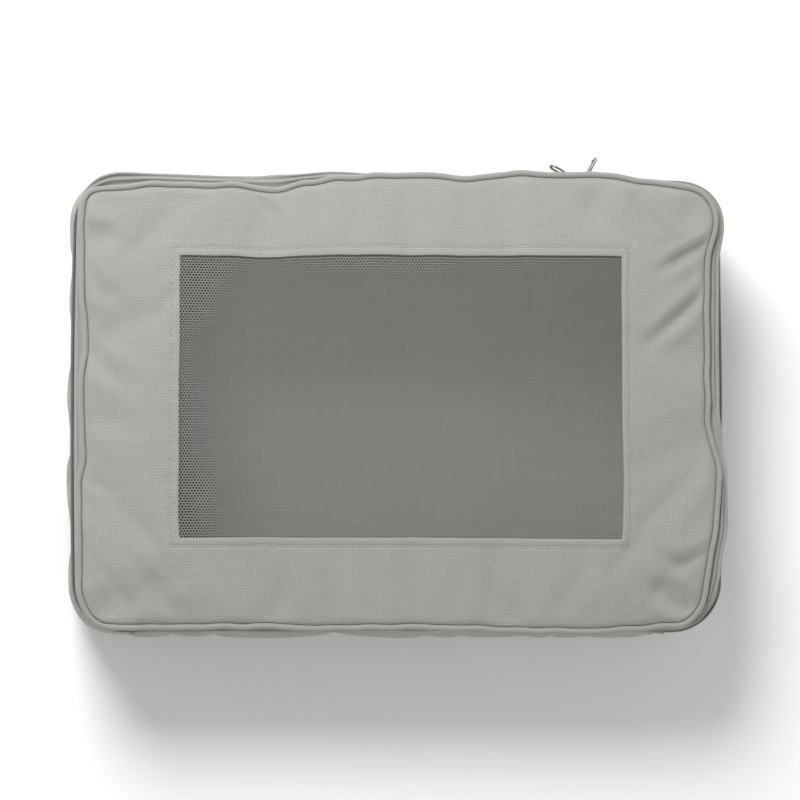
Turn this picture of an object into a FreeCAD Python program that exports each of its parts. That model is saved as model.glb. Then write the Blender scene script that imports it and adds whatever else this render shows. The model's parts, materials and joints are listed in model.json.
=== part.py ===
"""Packing cube: a soft zipped box with a mesh window in its lid.

The frame: +X along the length, +Z up, the zipped front at -Y and the fabric hinge at +Y. The origin is the
middle of the base panel's underside. Each sub-part is one object of the document with its own Label, and
is written to parts/LABEL.step. Lengths are millimetres.

The cube has a base tray (base panel, side gusset, rear panel) and a lid (lid panel with a window, and a
narrow zip tape wall). A zip runs round the front and both ends, and stops just past the rear corners. The
rear cloth between the ends of the zip is the hinge: it folds along a line at the zip's height.
"""

import FreeCAD
import Part
import math
import os
import Sketcher

OUT = "parts"

# Driving dimensions, by what they belong to.
SIZES = {
    # plan of the cloth walls, outside
    "wall_length": 350,
    "wall_width": 245,
    "wall_corner": 26,
    "top_height": 86,
    "cloth": 1.0,
    # the panels end inside the walls, and the walls step in to meet them
    "panel_inset": 7,
    "step_gap": 0.2,
    "step_height": 4.7,
    # seam piping round the base and the lid
    "piping_radius": 2.2,
    "cord_radius": 1.25,
    "cord_hole": 1.3,
    "piping_rise": 2.3,
    "piping_gap": 0.05,
    "flange": 0.6,
    "flange_root": 1.5,
    "flange_reach": 10,
    "binding": 1.4,
    "binding_gap": 0.1,
    # zip
    "zip_height": 73,
    "tape": 0.7,
    "tape_lap": 4,
    "chain_gap": 1.2,
    "coil_width": 2.3,
    "coil_depth": 2.2,
    "gusset_top": 65,
    "zip_end": 142,
    # upright seams and bartacks at the ends of the zip
    "upright_binding": 9,
    "bartack_length": 2,
    "bartack_thick": 0.6,
    "bartack_shift": 1.8,
    "bartack_low": 5,
    "bartack_high": 0.5,
    # window in the lid
    "window_length": 238,
    "window_width": 150,
    "window_shift": 3,
    "mesh_margin": 8,
    "mesh": 0.4,
    "hem": 0.6,
    "hem_width": 10,
    # stitches
    "stitch_pitch": 4,
    "stitch_length": 3,
    "stitch_thread": 0.5,
    "stitch_lift": 0.05,
    "stitch_margin": 5,
    "window_stitch_inset": 4.5,
    "gusset_stitch_inset": 2.5,
    # sliders
    "slider_length": 9.4,
    "slider_head": 8.2,
    "slider_tail": 7.4,
    "slider_plate": 1.0,
    "slider_play": 0.25,
    "slider_gap": 0.5,
    "slider_meeting": -98,
    "slider_corner": 1.2,
    "lip": 0.6,
    "post_setback": 0.5,
    "post_length": 2.6,
    "post_height": 0.8,
    "bridge_length": 7.0,
    "bridge_width": 2.2,
    "bridge_height": 2.6,
    "bridge_opening": 4.4,
    "bridge_clear": 1.7,
    # pulls
    "pull_bar": 0.6,
    "pull_start": 0.1,
    "pull_length": 11.4,
    "pull_thick": 1.2,
    "pull_near": 5.4,
    "pull_far": 7.2,
    "pull_limb": 1.2,
    "pull_tip": 1.5,
    "eye_start": -1,
    "pull_corner": 1.8,
    # half the slit that parts the rear cloth at the fold
    "hinge_gap": 0.5,
}
# Degrees each pull is turned about its bar, from lying along +X towards hanging straight out at -Y.
RIGHT_PULL_ANGLE = 28
LEFT_PULL_ANGLE = 118
# Lengths closer than this are taken as equal.
NEAR = 1e-6

doc = FreeCAD.newDocument("PackingCube")
sheet = doc.addObject("Spreadsheet::Sheet", "Dims")
for row, (alias, value) in enumerate(SIZES.items(), start=1):
    sheet.set(f"A{row}", alias)
    sheet.set(f"B{row}", str(value))
    sheet.setAlias(f"B{row}", alias)
doc.recompute()


def size(alias):
    """The number that the sheet holds under this alias."""
    return float(sheet.get(alias))


def cells(expression):
    """Puts the sheet's name before each alias in an expression."""
    words = []
    for word in expression.split():
        bare = word.strip("()")
        words.append(word.replace(bare, "Dims." + bare) if bare in SIZES else word)
    return " ".join(words)


def bind(target, path, expression):
    target.setExpression(path, cells(expression))


def number(expression):
    """The value of an expression over the sheet's aliases."""
    return float(sheet.evalExpression(cells(expression)))


# ---- PartDesign helpers -------------------------------------------------------------------------


def new_body(label):
    made = doc.addObject("PartDesign::Body", label)
    made.Label = label
    return made


def plane_of(body, role):
    return next(f for f in body.Origin.OriginFeatures if f.Role == role)


def new_sketch(body, role, offset="0"):
    """A sketch on one of the body's own planes, moved along that plane's normal."""
    made = body.newObject("Sketcher::SketchObject", "Sketch")
    made.AttachmentSupport = (plane_of(body, role), [""])
    made.MapMode = "FlatFace"
    bind(made, "AttachmentOffset.Base.z", offset)
    return made


def named(sketch, constraint, name, expression):
    """Adds a driving constraint, names it and binds it to the sheet."""
    index = sketch.addConstraint(constraint)
    sketch.renameConstraint(index, name)
    bind(sketch, "Constraints." + name, expression)


def add_rounded_rectangle(sketch, name, length, width, radius):
    """A rounded rectangle about the sketch's origin, from four lines and four arcs."""
    x = number(length) / 2
    y = number(width) / 2
    r = number(radius)
    vector = FreeCAD.Vector
    ends = [
        (vector(-x + r, -y, 0), vector(x - r, -y, 0)),
        (vector(x, -y + r, 0), vector(x, y - r, 0)),
        (vector(x - r, y, 0), vector(-x + r, y, 0)),
        (vector(-x, y - r, 0), vector(-x, -y + r, 0)),
    ]
    middles = [vector(x - r, -y + r, 0), vector(x - r, y - r, 0)]
    middles += [vector(-x + r, y - r, 0), vector(-x + r, -y + r, 0)]
    lines = [sketch.addGeometry(Part.LineSegment(a, b)) for a, b in ends]
    arcs = []
    for turn, middle in enumerate(middles):
        begin = math.radians(-90 + 90 * turn)
        circle = Part.Circle(middle, vector(0, 0, 1), r)
        arcs.append(sketch.addGeometry(Part.ArcOfCircle(circle, begin, begin + math.pi / 2)))
    constraint = Sketcher.Constraint
    for turn in range(4):
        sketch.addConstraint(constraint("Tangent", lines[turn], 2, arcs[turn], 1))
        sketch.addConstraint(constraint("Tangent", arcs[turn], 2, lines[(turn + 1) % 4], 1))
        way = "Horizontal" if turn % 2 == 0 else "Vertical"
        sketch.addConstraint(constraint(way, lines[turn]))
    for turn in range(3):
        sketch.addConstraint(constraint("Equal", arcs[turn], arcs[turn + 1]))
    sketch.addConstraint(constraint("Symmetric", arcs[0], 3, arcs[2], 3, -1, 1))
    named(sketch, constraint("Radius", arcs[0], r), name + "_radius", radius)
    across = constraint("DistanceX", lines[3], 1, lines[1], 1, 2 * x)
    named(sketch, across, name + "_length", length)
    along = constraint("DistanceY", lines[0], 1, lines[2], 1, 2 * y)
    named(sketch, along, name + "_width", width)


def add_rectangle(sketch, name, left, right, low, high):
    """A rectangle whose four sides lie at these distances from the sketch's axes."""
    x0, x1, y0, y1 = (number(e) for e in (left, right, low, high))
    corners = [(x0, y0), (x1, y0), (x1, y1), (x0, y1)]
    points = [FreeCAD.Vector(x, y, 0) for x, y in corners]
    lines = [sketch.addGeometry(Part.LineSegment(points[k], points[(k + 1) % 4])) for k in range(4)]
    constraint = Sketcher.Constraint
    for k in range(4):
        sketch.addConstraint(constraint("Coincident", lines[k], 2, lines[(k + 1) % 4], 1))
        sketch.addConstraint(constraint("Vertical" if k % 2 else "Horizontal", lines[k]))
    for suffix, kind, corner, expression, start in (
        ("_left", "DistanceX", 0, left, x0),
        ("_low", "DistanceY", 0, low, y0),
        ("_right", "DistanceX", 2, right, x1),
        ("_high", "DistanceY", 2, high, y1),
    ):
        place = constraint(kind, -1, 1, lines[corner], 1, start)
        named(sketch, place, name + suffix, expression)


def add_wedge(sketch, near, far, near_width, far_width):
    """A four-sided outline symmetric about the sketch's X axis, wider or narrower towards its far end."""
    x0, x1, w0, w1 = (number(e) for e in (near, far, near_width, far_width))
    corners = [(x0, -w0 / 2), (x1, -w1 / 2), (x1, w1 / 2), (x0, w0 / 2)]
    points = [FreeCAD.Vector(x, y, 0) for x, y in corners]
    lines = [sketch.addGeometry(Part.LineSegment(points[k], points[(k + 1) % 4])) for k in range(4)]
    constraint = Sketcher.Constraint
    for k in range(4):
        sketch.addConstraint(constraint("Coincident", lines[k], 2, lines[(k + 1) % 4], 1))
    for k in (1, 3):
        sketch.addConstraint(constraint("Symmetric", lines[k], 1, lines[k], 2, -1))
    named(sketch, constraint("DistanceX", -1, 1, lines[0], 1, x0), "near_at", near)
    named(sketch, constraint("DistanceX", -1, 1, lines[1], 1, x1), "far_at", far)
    named(sketch, constraint("DistanceY", lines[1], 1, lines[1], 2, w1), "far_width", far_width)
    named(sketch, constraint("DistanceY", lines[3], 2, lines[3], 1, w0), "near_width", near_width)


def pad(body, sketch, length, midplane=False):
    made = body.newObject("PartDesign::Pad", "Pad")
    made.Profile = sketch
    bind(made, "Length", length)
    made.Midplane = midplane
    sketch.Visibility = False
    doc.recompute()
    return made


def pocket_through(body, sketch):
    """Cuts the sketch right through the body, both ways, and stops if nothing was cut."""
    before = body.Shape.Volume
    made = body.newObject("PartDesign::Pocket", "Pocket")
    made.Profile = sketch
    made.Type = "ThroughAll"
    made.Midplane = True
    doc.recompute()
    if body.Shape.Volume > before - NEAR:
        raise RuntimeError(f"the pocket in {body.Label} cut nothing")


def round_edges(body, chosen, radius):
    """Fillets the edges of the body's tip for which chosen(edge) is true."""
    tip = body.Tip
    names = [f"Edge{k}" for k, edge in enumerate(tip.Shape.Edges, start=1) if chosen(edge)]
    made = body.newObject("PartDesign::Fillet", "Fillet")
    made.Base = (tip, names)
    bind(made, "Radius", radius)
    doc.recompute()


def along(edge, axis):
    """True for a straight edge parallel to this axis."""
    if len(edge.Vertexes) < 2:
        return False
    step = edge.Vertexes[1].Point - edge.Vertexes[0].Point
    return abs(abs(step.dot(axis)) - step.Length) < NEAR and step.Length > NEAR


def along_at(axis, coordinate, where):
    """A test that picks the straight edges parallel to an axis whose x or y is this number."""
    return lambda edge: along(edge, axis) and abs(getattr(edge.Vertexes[0].Point, coordinate) - where) < NEAR


def place(body, x="0", y="0", z="0"):
    bind(body, "Placement.Base.x", x)
    bind(body, "Placement.Base.y", y)
    bind(body, "Placement.Base.z", z)


# ---- Cloth panels, walls and rings --------------------------------------------------------------


def inset(expression, by):
    """A plan length or width, taken in by this much on both sides."""
    return f"{expression} - 2 * ( {by} )"


def plan_loop(sketch, name, by):
    """The walls' rounded plan, taken in by this much all round."""
    length = inset("wall_length", by)
    width = inset("wall_width", by)
    add_rounded_rectangle(sketch, name, length, width, f"wall_corner - ( {by} )")


def flat_panel(label, low):
    """A whole cloth panel, the walls' plan taken in all round."""
    body = new_body(label)
    sketch = new_sketch(body, "XY_Plane", low)
    plan_loop(sketch, "edge", "panel_inset")
    pad(body, sketch, "cloth")
    return body


def ring(label, levels):
    """Walls and flat rings that follow the plan, each between two heights and two insets."""
    body = new_body(label)
    for low, high, outer, inner in levels:
        sketch = new_sketch(body, "XY_Plane", low)
        plan_loop(sketch, "outer", outer)
        plan_loop(sketch, "inner", inner)
        pad(body, sketch, f"( {high} ) - ( {low} )")
    return body


def open_ring(label, levels):
    """The same round the front, the ends and the rear corners, open between the ends of the zip."""
    body = ring(label, levels)
    sketch = new_sketch(body, "XY_Plane")
    add_rectangle(sketch, "rear", "-1 * zip_end", "zip_end", "wall_width / 4", "wall_width")
    pocket_through(body, sketch)
    return body


def rear_ring(label, levels):
    """The same along the rear, between the ends of the zip."""
    body = new_body(label)
    for low, high, outer, inner in levels:
        sketch = new_sketch(body, "XY_Plane", low)
        near = f"wall_width / 2 - ( {inner} )"
        far = f"wall_width / 2 - ( {outer} )"
        add_rectangle(sketch, "rear", "-1 * zip_end", "zip_end", near, far)
        pad(body, sketch, f"( {high} ) - ( {low} )")
    return body


def step_below(top, outer, thick):
    """The levels by which a wall of this thickness turns in under the lid's piping and up to its seam."""
    shelf = "top_height - step_height - " + thick
    edge = "panel_inset + step_gap"
    return [
        (shelf, "top_height - step_height", outer, f"{edge} + {thick}"),
        (shelf, top, edge, f"{edge} + {thick}"),
    ]


def step_above(bottom, outer, thick):
    """The levels by which a wall turns in over the base's piping and down to its seam."""
    shelf = "step_height + " + thick
    edge = "panel_inset + step_gap"
    return [
        ("step_height", shelf, outer, f"{edge} + {thick}"),
        (bottom, shelf, edge, f"{edge} + {thick}"),
    ]


def piping_path(body, height):
    """The piping's centre line, a rounded rectangle just outside the panel."""
    sketch = new_sketch(body, "XY_Plane", height)
    plan_loop(sketch, "path", "panel_inset - piping_radius - piping_gap")
    return sketch


def piping_section(body, height, radius):
    """A circle round the centre line at the start of its first straight run."""
    sketch = new_sketch(body, "YZ_Plane", "wall_corner - wall_length / 2")
    side = "wall_width / 2 - panel_inset + piping_radius + piping_gap"
    middle = FreeCAD.Vector(-number(side), number(height), 0)
    constraint = Sketcher.Constraint
    circle = sketch.addGeometry(Part.Circle(middle, FreeCAD.Vector(0, 0, 1), number(radius)))
    named(sketch, constraint("Radius", circle, number(radius)), "radius", radius)
    named(sketch, constraint("DistanceX", circle, 3, -1, 1, -middle.x), "side", side)
    named(sketch, constraint("DistanceY", -1, 1, circle, 3, middle.y), "height", height)
    return sketch


def sweep_piping(body, kind, height, radius):
    """Sweeps a round section along the plan: kind is AdditivePipe or SubtractivePipe."""
    path = piping_path(body, height)
    section = piping_section(body, height, radius)
    doc.recompute()
    sweep = body.newObject("PartDesign::" + kind, "Sweep")
    sweep.Profile = section
    sweep.Spine = path
    doc.recompute()


def piping_cord(label, height):
    """The round cord that fills the piping."""
    body = new_body(label)
    sweep_piping(body, "AdditivePipe", height, "cord_radius")
    return body


def piping_cover(label, height, flange_low):
    """The cloth round the piping's cord, with the flange that is sewn into the seam."""
    body = new_body(label)
    sweep_piping(body, "AdditivePipe", height, "piping_radius")
    sketch = new_sketch(body, "XY_Plane", flange_low)
    plan_loop(sketch, "outer", "panel_inset + flange_root - piping_radius - piping_gap")
    plan_loop(sketch, "inner", "panel_inset + flange_reach")
    pad(body, sketch, "flange")
    before = body.Shape.Volume
    sweep_piping(body, "SubtractivePipe", height, "cord_hole")
    if body.Shape.Volume > before - 1:
        raise RuntimeError(f"the bore in {label} cut nothing")
    return body


# ---- Stitches -----------------------------------------------------------------------------------


def open_plan_points(by, pitch):
    """Places and headings, evenly spaced along the plan, that stop just short of the zip's two ends."""
    x = size("wall_length") / 2 - by
    y = size("wall_width") / 2 - by
    r = size("wall_corner") - by
    end = size("zip_end") + size("stitch_margin")
    straight_x = x - r
    straight_y = y - r
    turn = math.pi / 2 * r
    runs = [
        ("line", (end, y), 0, straight_x - end),
        ("arc", (straight_x, straight_y), 90, turn),
        ("line", (x, straight_y), -90, 2 * straight_y),
        ("arc", (straight_x, -straight_y), 0, turn),
        ("line", (straight_x, -y), 180, 2 * straight_x),
        ("arc", (-straight_x, -straight_y), -90, turn),
        ("line", (-x, -straight_y), 90, 2 * straight_y),
        ("arc", (-straight_x, straight_y), 180, turn),
        ("line", (-straight_x, y), 0, straight_x - end),
    ]
    total = sum(length for _, _, _, length in runs)
    count = int(total / pitch)
    spare = total - count * pitch
    for k in range(count):
        at = spare / 2 + (k + 0.5) * pitch
        for kind, point, angle, length in runs:
            if at <= length:
                break
            at -= length
        if kind == "line":
            heading = math.radians(angle)
            px = point[0] + at * math.cos(heading)
            py = point[1] + at * math.sin(heading)
        else:
            swept = math.radians(angle) - at / r
            px = point[0] + r * math.cos(swept)
            py = point[1] + r * math.sin(swept)
            heading = swept - math.pi / 2
        yield px, py, math.degrees(heading)


def stitch(x, y, z, heading):
    """One bar of thread, lying along its heading, with its inner face on the plan line."""
    length = size("stitch_length")
    thread = size("stitch_thread")
    bar = Part.makeBox(length, thread, thread, FreeCAD.Vector(-length / 2, 0, -thread / 2))
    bar.rotate(FreeCAD.Vector(), FreeCAD.Vector(0, 0, 1), heading)
    bar.translate(FreeCAD.Vector(x, y, z))
    return bar


def shape_feature(label, shapes):
    made = doc.addObject("Part::Feature", label)
    made.Label = label
    made.Shape = Part.makeCompound(shapes)
    made.Placement = FreeCAD.Placement()
    return made


def gusset_stitching():
    """The row of stitches that holds the gusset's folded edge to the lower tape."""
    height = size("gusset_top") - size("gusset_stitch_inset")
    bars = [
        stitch(x, y, height, heading)
        for x, y, heading in open_plan_points(-size("stitch_lift"), size("stitch_pitch"))
    ]
    return shape_feature("gusset_stitching", bars)


def window_stitching():
    """The row of stitches round the window, on top of the lid panel."""
    inset_by = size("window_stitch_inset")
    pitch = size("stitch_pitch")
    length = size("window_length") + 2 * inset_by
    width = size("window_width") + 2 * inset_by
    shift = size("window_shift")
    thread = size("stitch_thread")
    height = size("top_height") + thread / 2
    bars = []
    for side in (-1, 1):
        count = int(length / pitch)
        for k in range(count):
            x = (k + 0.5 - count / 2) * pitch
            bars.append(stitch(x, side * width / 2 - shift - thread / 2, height, 0))
        count = int(width / pitch)
        for k in range(count):
            y = (k + 0.5 - count / 2) * pitch - shift
            bars.append(stitch(side * length / 2 + thread / 2, y, height, 90))
    return shape_feature("window_stitching", bars)


# ---- Lid and base -------------------------------------------------------------------------------


def window_loop(sketch, name, grow):
    """The window's rectangle, made larger by this much on each side."""
    half_length = f"window_length / 2 + {grow}"
    low = f"-1 * ( window_width / 2 ) - window_shift - {grow}"
    high = f"window_width / 2 - window_shift + {grow}"
    add_rectangle(sketch, name, f"-1 * ( {half_length} )", half_length, low, high)


def window_sheet(label, low, thick, grow):
    body = new_body(label)
    sketch = new_sketch(body, "XY_Plane", low)
    window_loop(sketch, "edge", grow)
    pad(body, sketch, thick)
    return body


BINDING_INSETS = ("panel_inset + step_gap + cloth + binding_gap", "panel_inset + flange_reach")


def build_lid():
    panel_low = "top_height - cloth"
    panel = flat_panel("lid_panel", panel_low)
    opening = new_sketch(panel, "XY_Plane")
    window_loop(opening, "window", "0")
    pocket_through(panel, opening)
    window_sheet("window_mesh", f"{panel_low} - mesh", "mesh", "mesh_margin")
    hem = window_sheet("window_hem", f"{panel_low} - mesh - hem", "hem", "hem_width")
    opening = new_sketch(hem, "XY_Plane")
    window_loop(opening, "window", "0")
    pocket_through(hem, opening)
    window_stitching()
    height = "top_height - piping_rise"
    flange_low = f"{panel_low} - flange"
    piping_cover("lid_piping_cover", height, flange_low)
    piping_cord("lid_piping_cord", height)
    wall_top = flange_low
    ring("lid_seam_binding", [(f"{wall_top} - binding", wall_top, *BINDING_INSETS)])
    low = "zip_height + chain_gap / 2"
    under_piping = "top_height - step_height"
    levels = [(low, under_piping, "cloth", "cloth + tape")]
    open_ring("upper_zip_tape", levels + step_below(wall_top, "cloth", "tape"))
    open_ring("upper_zip_coil", [(low, f"{low} + coil_width", "cloth - coil_depth", "cloth")])
    levels = [("zip_height + hinge_gap", under_piping, "0", "cloth")]
    rear_ring("rear_flap", levels + step_below(wall_top, "0", "cloth"))


def build_base():
    flat_panel("base_panel", "0")
    piping_cover("base_piping_cover", "piping_rise", "cloth")
    piping_cord("base_piping_cord", "piping_rise")
    wall_low = "cloth + flange"
    ring("base_seam_binding", [(wall_low, f"{wall_low} + binding", *BINDING_INSETS)])
    step = step_above(wall_low, "0", "cloth")
    open_ring("side_gusset", [("step_height", "gusset_top", "0", "cloth")] + step)
    rear_ring("rear_panel", [("step_height", "zip_height - hinge_gap", "0", "cloth")] + step)
    top = "zip_height - chain_gap / 2"
    open_ring("lower_zip_tape", [("gusset_top - tape_lap", top, "cloth", "cloth + tape")])
    open_ring("lower_zip_coil", [(f"{top} - coil_width", top, "cloth - coil_depth", "cloth")])
    gusset_stitching()
    rear_seam_bindings()
    zip_end_bartacks()


def rear_seam_bindings():
    """The two upright bound seams inside, where the gusset meets the rear panel."""
    low = size("step_height") + size("cloth") + size("binding_gap")
    high = size("gusset_top") - size("tape_lap") - size("binding_gap")
    thick = size("binding")
    width = size("upright_binding")
    inner = size("wall_width") / 2 - size("cloth") - size("binding_gap")
    strips = []
    for side in (-1, 1):
        corner = FreeCAD.Vector(side * size("zip_end") - width / 2, inner - thick, low)
        strips.append(Part.makeBox(width, thick, high - low, corner))
    return shape_feature("rear_seam_bindings", strips)


def zip_end_bartacks():
    """A short upright bar of dense stitches over each end of the lower tape."""
    length = size("bartack_length")
    thick = size("bartack_thick")
    low = size("gusset_top") - size("bartack_low")
    high = size("gusset_top") - size("bartack_high")
    outer = size("wall_width") / 2 + size("stitch_lift")
    bars = []
    for side in (-1, 1):
        middle = side * (size("zip_end") + size("bartack_shift"))
        corner = FreeCAD.Vector(middle - length / 2, outer, low)
        bars.append(Part.makeBox(length, thick, high - low, corner))
    return shape_feature("zip_end_bartacks", bars)


# ---- Sliders and pulls --------------------------------------------------------------------------
# A slider is drawn about the middle of the zip, on the tape's outer face: X along the zip, -Y outwards.

SLIDER_Y = "cloth - wall_width / 2"
PLATE_FACE = "coil_depth + slider_play + slider_plate"


def slider_x(side):
    """The slider's middle: side is -1 for the left slider and 1 for the right one."""
    return f"slider_meeting + {side} * ( slider_length / 2 + slider_gap / 2 )"


def slider_plate(body, offset, side):
    """One plate of the slider, wider at its head, which faces the other slider."""
    sketch = new_sketch(body, "XZ_Plane", offset)
    head = f"{-side} * slider_length / 2"
    tail = f"{side} * slider_length / 2"
    if side > 0:
        add_wedge(sketch, head, tail, "slider_head", "slider_tail")
    else:
        add_wedge(sketch, tail, head, "slider_tail", "slider_head")
    pad(body, sketch, "slider_plate")


def slider_body(label, side):
    """Two plates joined by the post that parts the chain, with a lip under the lower chain half."""
    body = new_body(label)
    outer_face = "coil_depth + slider_play"
    slider_plate(body, outer_face, side)
    across = FreeCAD.Vector(0, 1, 0)
    round_edges(body, lambda edge: along(edge, across), "slider_corner")
    rim = -number(PLATE_FACE)
    round_edges(
        body,
        lambda edge: all(abs(v.Point.y - rim) < NEAR for v in edge.Vertexes) and not along(edge, across),
        "slider_plate / 3",
    )
    post = new_sketch(body, "XZ_Plane", "0 - tape - slider_play")
    head = f"( slider_length / 2 - post_setback ) * {-side}"
    heel = f"( slider_length / 2 - post_setback - post_length ) * {-side}"
    left, right = (head, heel) if side > 0 else (heel, head)
    add_rectangle(post, "post", left, right, "-1 * post_height / 2", "post_height / 2")
    pad(body, post, "tape + coil_depth + 2 * slider_play + slider_plate / 2")
    slider_plate(body, "0 - tape - slider_play - slider_plate", side)
    lip = new_sketch(body, "XZ_Plane", "slider_play")
    reach = "( slider_length / 2 - slider_corner )"
    low = "-1 * slider_tail / 2"
    add_rectangle(lip, "lip", f"-1 * {reach}", reach, low, f"{low} + lip")
    pad(body, lip, "coil_depth + slider_plate / 2")
    place(body, slider_x(side), SLIDER_Y, "zip_height")
    return body


def slider_bridge(label, side):
    """The arch over the slider's outer plate that holds the pull."""
    body = new_body(label)
    sketch = new_sketch(body, "XY_Plane")
    face = f"-1 * ( {PLATE_FACE} )"
    half = "bridge_length / 2"
    add_rectangle(sketch, "arch", f"-1 * {half}", half, f"{face} - bridge_height", face)
    pad(body, sketch, "bridge_width", midplane=True)
    opening = new_sketch(body, "XY_Plane")
    half = "bridge_opening / 2"
    add_rectangle(opening, "opening", f"-1 * {half}", half, f"{face} - bridge_clear", face)
    pocket_through(body, opening)
    upright = FreeCAD.Vector(0, 0, 1)
    crest = -number(f"{PLATE_FACE} + bridge_height")
    round_edges(body, along_at(upright, "y", crest), "bridge_height / 2")
    place(body, slider_x(side), SLIDER_Y, "zip_height")
    return body


def pull(label, side, angle):
    """A flat ring pull on a round bar, drawn along +X from the bar and turned about it."""
    body = new_body(label)
    outline = new_sketch(body, "XZ_Plane")
    add_wedge(outline, "pull_start", "pull_length", "pull_near", "pull_far")
    pad(body, outline, "pull_thick", midplane=True)
    across = FreeCAD.Vector(0, 1, 0)
    round_edges(body, along_at(across, "x", size("pull_length")), "pull_corner")
    eye = new_sketch(body, "XZ_Plane")
    near_eye = "pull_near - 2 * pull_limb"
    far_eye = "pull_far - 2 * pull_limb"
    eye_end = "pull_length - pull_tip"
    add_wedge(eye, "eye_start", eye_end, near_eye, far_eye)
    pocket_through(body, eye)
    round_edges(body, along_at(across, "x", number(eye_end)), "pull_corner / 2")
    bar = new_sketch(body, "XY_Plane")
    centre = FreeCAD.Vector()
    circle = bar.addGeometry(Part.Circle(centre, FreeCAD.Vector(0, 0, 1), size("pull_bar")))
    bar.addConstraint(Sketcher.Constraint("Coincident", circle, 3, -1, 1))
    named(bar, Sketcher.Constraint("Radius", circle, size("pull_bar")), "round_radius", "pull_bar")
    pad(body, bar, "pull_near", midplane=True)
    place(body, slider_x(side), f"{SLIDER_Y} - ( {PLATE_FACE} + bridge_clear / 2 )", "zip_height")
    body.Placement.Rotation = FreeCAD.Rotation(FreeCAD.Vector(0, 0, 1), -angle)
    return body


def build_sliders():
    for side, word, angle in ((-1, "left", LEFT_PULL_ANGLE), (1, "right", RIGHT_PULL_ANGLE)):
        slider_body(f"{word}_slider_body", side)
        slider_bridge(f"{word}_slider_bridge", side)
        pull(f"{word}_pull", side, angle)


# ---- Build, check and write ---------------------------------------------------------------------


def sub_parts():
    """The objects that are pieces of the cube: the bodies and the plain shape features."""
    return [o for o in doc.Objects if o.TypeId in ("PartDesign::Body", "Part::Feature")]


def check():
    for o in doc.Objects:
        if {"Invalid", "Error"} & set(o.State):
            raise RuntimeError(f"{o.Name} ({o.Label}) is {o.State}")
    for o in sub_parts():
        if o.Shape.isNull() or not o.Shape.isValid() or not o.Shape.Solids:
            raise RuntimeError(f"{o.Label} has no valid solid")


build_base()
build_lid()
build_sliders()
doc.recompute()
check()
os.makedirs(OUT, exist_ok=True)
for part in sub_parts():
    part.Shape.exportStep(os.path.join(OUT, part.Label + ".step"))
    print(f"{part.Label}: {len(part.Shape.Solids)} solid(s), {part.Shape.Volume:.1f} mm3")
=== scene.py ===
"""Packing cube: the looks. Cloth, net, zip, piping, stitches and pulls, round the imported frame. Metres."""

import json
import math

import bpy
import bmesh
import numpy as np
from mathutils import Matrix, Vector
from mathutils.bvhtree import BVHTree


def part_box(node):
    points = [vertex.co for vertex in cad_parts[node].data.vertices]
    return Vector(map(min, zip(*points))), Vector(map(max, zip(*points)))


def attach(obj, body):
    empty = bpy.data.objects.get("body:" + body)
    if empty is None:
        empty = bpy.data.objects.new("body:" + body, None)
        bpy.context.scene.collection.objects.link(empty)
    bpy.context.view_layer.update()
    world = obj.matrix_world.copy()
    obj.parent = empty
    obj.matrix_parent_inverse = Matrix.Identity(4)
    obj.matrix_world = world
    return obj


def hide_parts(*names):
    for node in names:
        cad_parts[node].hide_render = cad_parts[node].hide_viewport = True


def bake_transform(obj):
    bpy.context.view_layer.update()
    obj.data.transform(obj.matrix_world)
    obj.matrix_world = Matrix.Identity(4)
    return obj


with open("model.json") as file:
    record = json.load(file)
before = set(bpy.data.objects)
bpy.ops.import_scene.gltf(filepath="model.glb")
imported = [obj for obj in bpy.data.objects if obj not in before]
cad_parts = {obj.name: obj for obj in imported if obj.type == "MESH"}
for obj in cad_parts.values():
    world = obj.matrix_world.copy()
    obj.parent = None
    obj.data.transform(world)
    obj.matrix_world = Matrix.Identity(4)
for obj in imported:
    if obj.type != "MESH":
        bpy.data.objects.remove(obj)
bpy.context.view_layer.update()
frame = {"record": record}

MM = 0.001
UP = np.array([0.0, 0.0, 1.0])

# ---- Places read from the frame, and sizes ----

HALF_X, HALF_Y, GUSSET_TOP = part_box("side_gusset")[1]
PANEL_X, PANEL_Y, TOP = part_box("lid_panel")[1]
INSET = HALF_X - PANEL_X
CORNER = 26 * MM
ZIP_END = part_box("rear_panel")[1][0]
TAPE_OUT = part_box("upper_zip_tape")[1][0] - HALF_X
ZIP_Z = (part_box("left_slider_body")[0][2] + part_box("left_slider_body")[1][2]) / 2
NET_MARGIN = 8 * MM
WINDOW_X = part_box("window_mesh")[1][0] - NET_MARGIN
WINDOW_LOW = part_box("window_mesh")[0][1] + NET_MARGIN
WINDOW_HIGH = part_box("window_mesh")[1][1] - NET_MARGIN
CLOTH = 0.8 * MM
HEM = 0.5 * MM
TAPE = 0.5 * MM
PIPING_R = 1.75 * MM
PIPING_GAP = 0.05 * MM
SEAM_Z = TOP - 1.2 * MM
PIPING_DROP = 1.1 * MM
CORD_R = 1.0 * MM
STITCH = 3.0 * MM
STITCH_PITCH = 4.0 * MM
STITCH_LIFT = 0.1 * MM
THREAD_R = 0.3 * MM
WINDOW_STITCH = 4.5 * MM
# How far the rear cloth reaches past each end of the zip
REAR_SEAM = 2.4 * MM

# ---- The walls' plan ----


def plan_table(steps=240):
    """Distance, place and outward normal round the walls' plan, clockwise from the rear's middle."""
    a = HALF_X - CORNER
    b = HALF_Y - CORNER
    rows = [(0.0, HALF_Y, 0.0, 1.0)]
    for (x, y), start in (((a, b), 90), ((a, -b), 0), ((-a, -b), -90), ((-a, b), -180)):
        for turn in np.radians(np.linspace(start, start - 90, steps)):
            nx = math.cos(turn)
            ny = math.sin(turn)
            rows.append((x + CORNER * nx, y + CORNER * ny, nx, ny))
    rows.append(rows[0])
    table = np.array(rows)
    steps_along = np.hypot(*np.diff(table[:, :2], axis=0).T)
    return np.concatenate([[0], np.cumsum(steps_along)]), table


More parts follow.
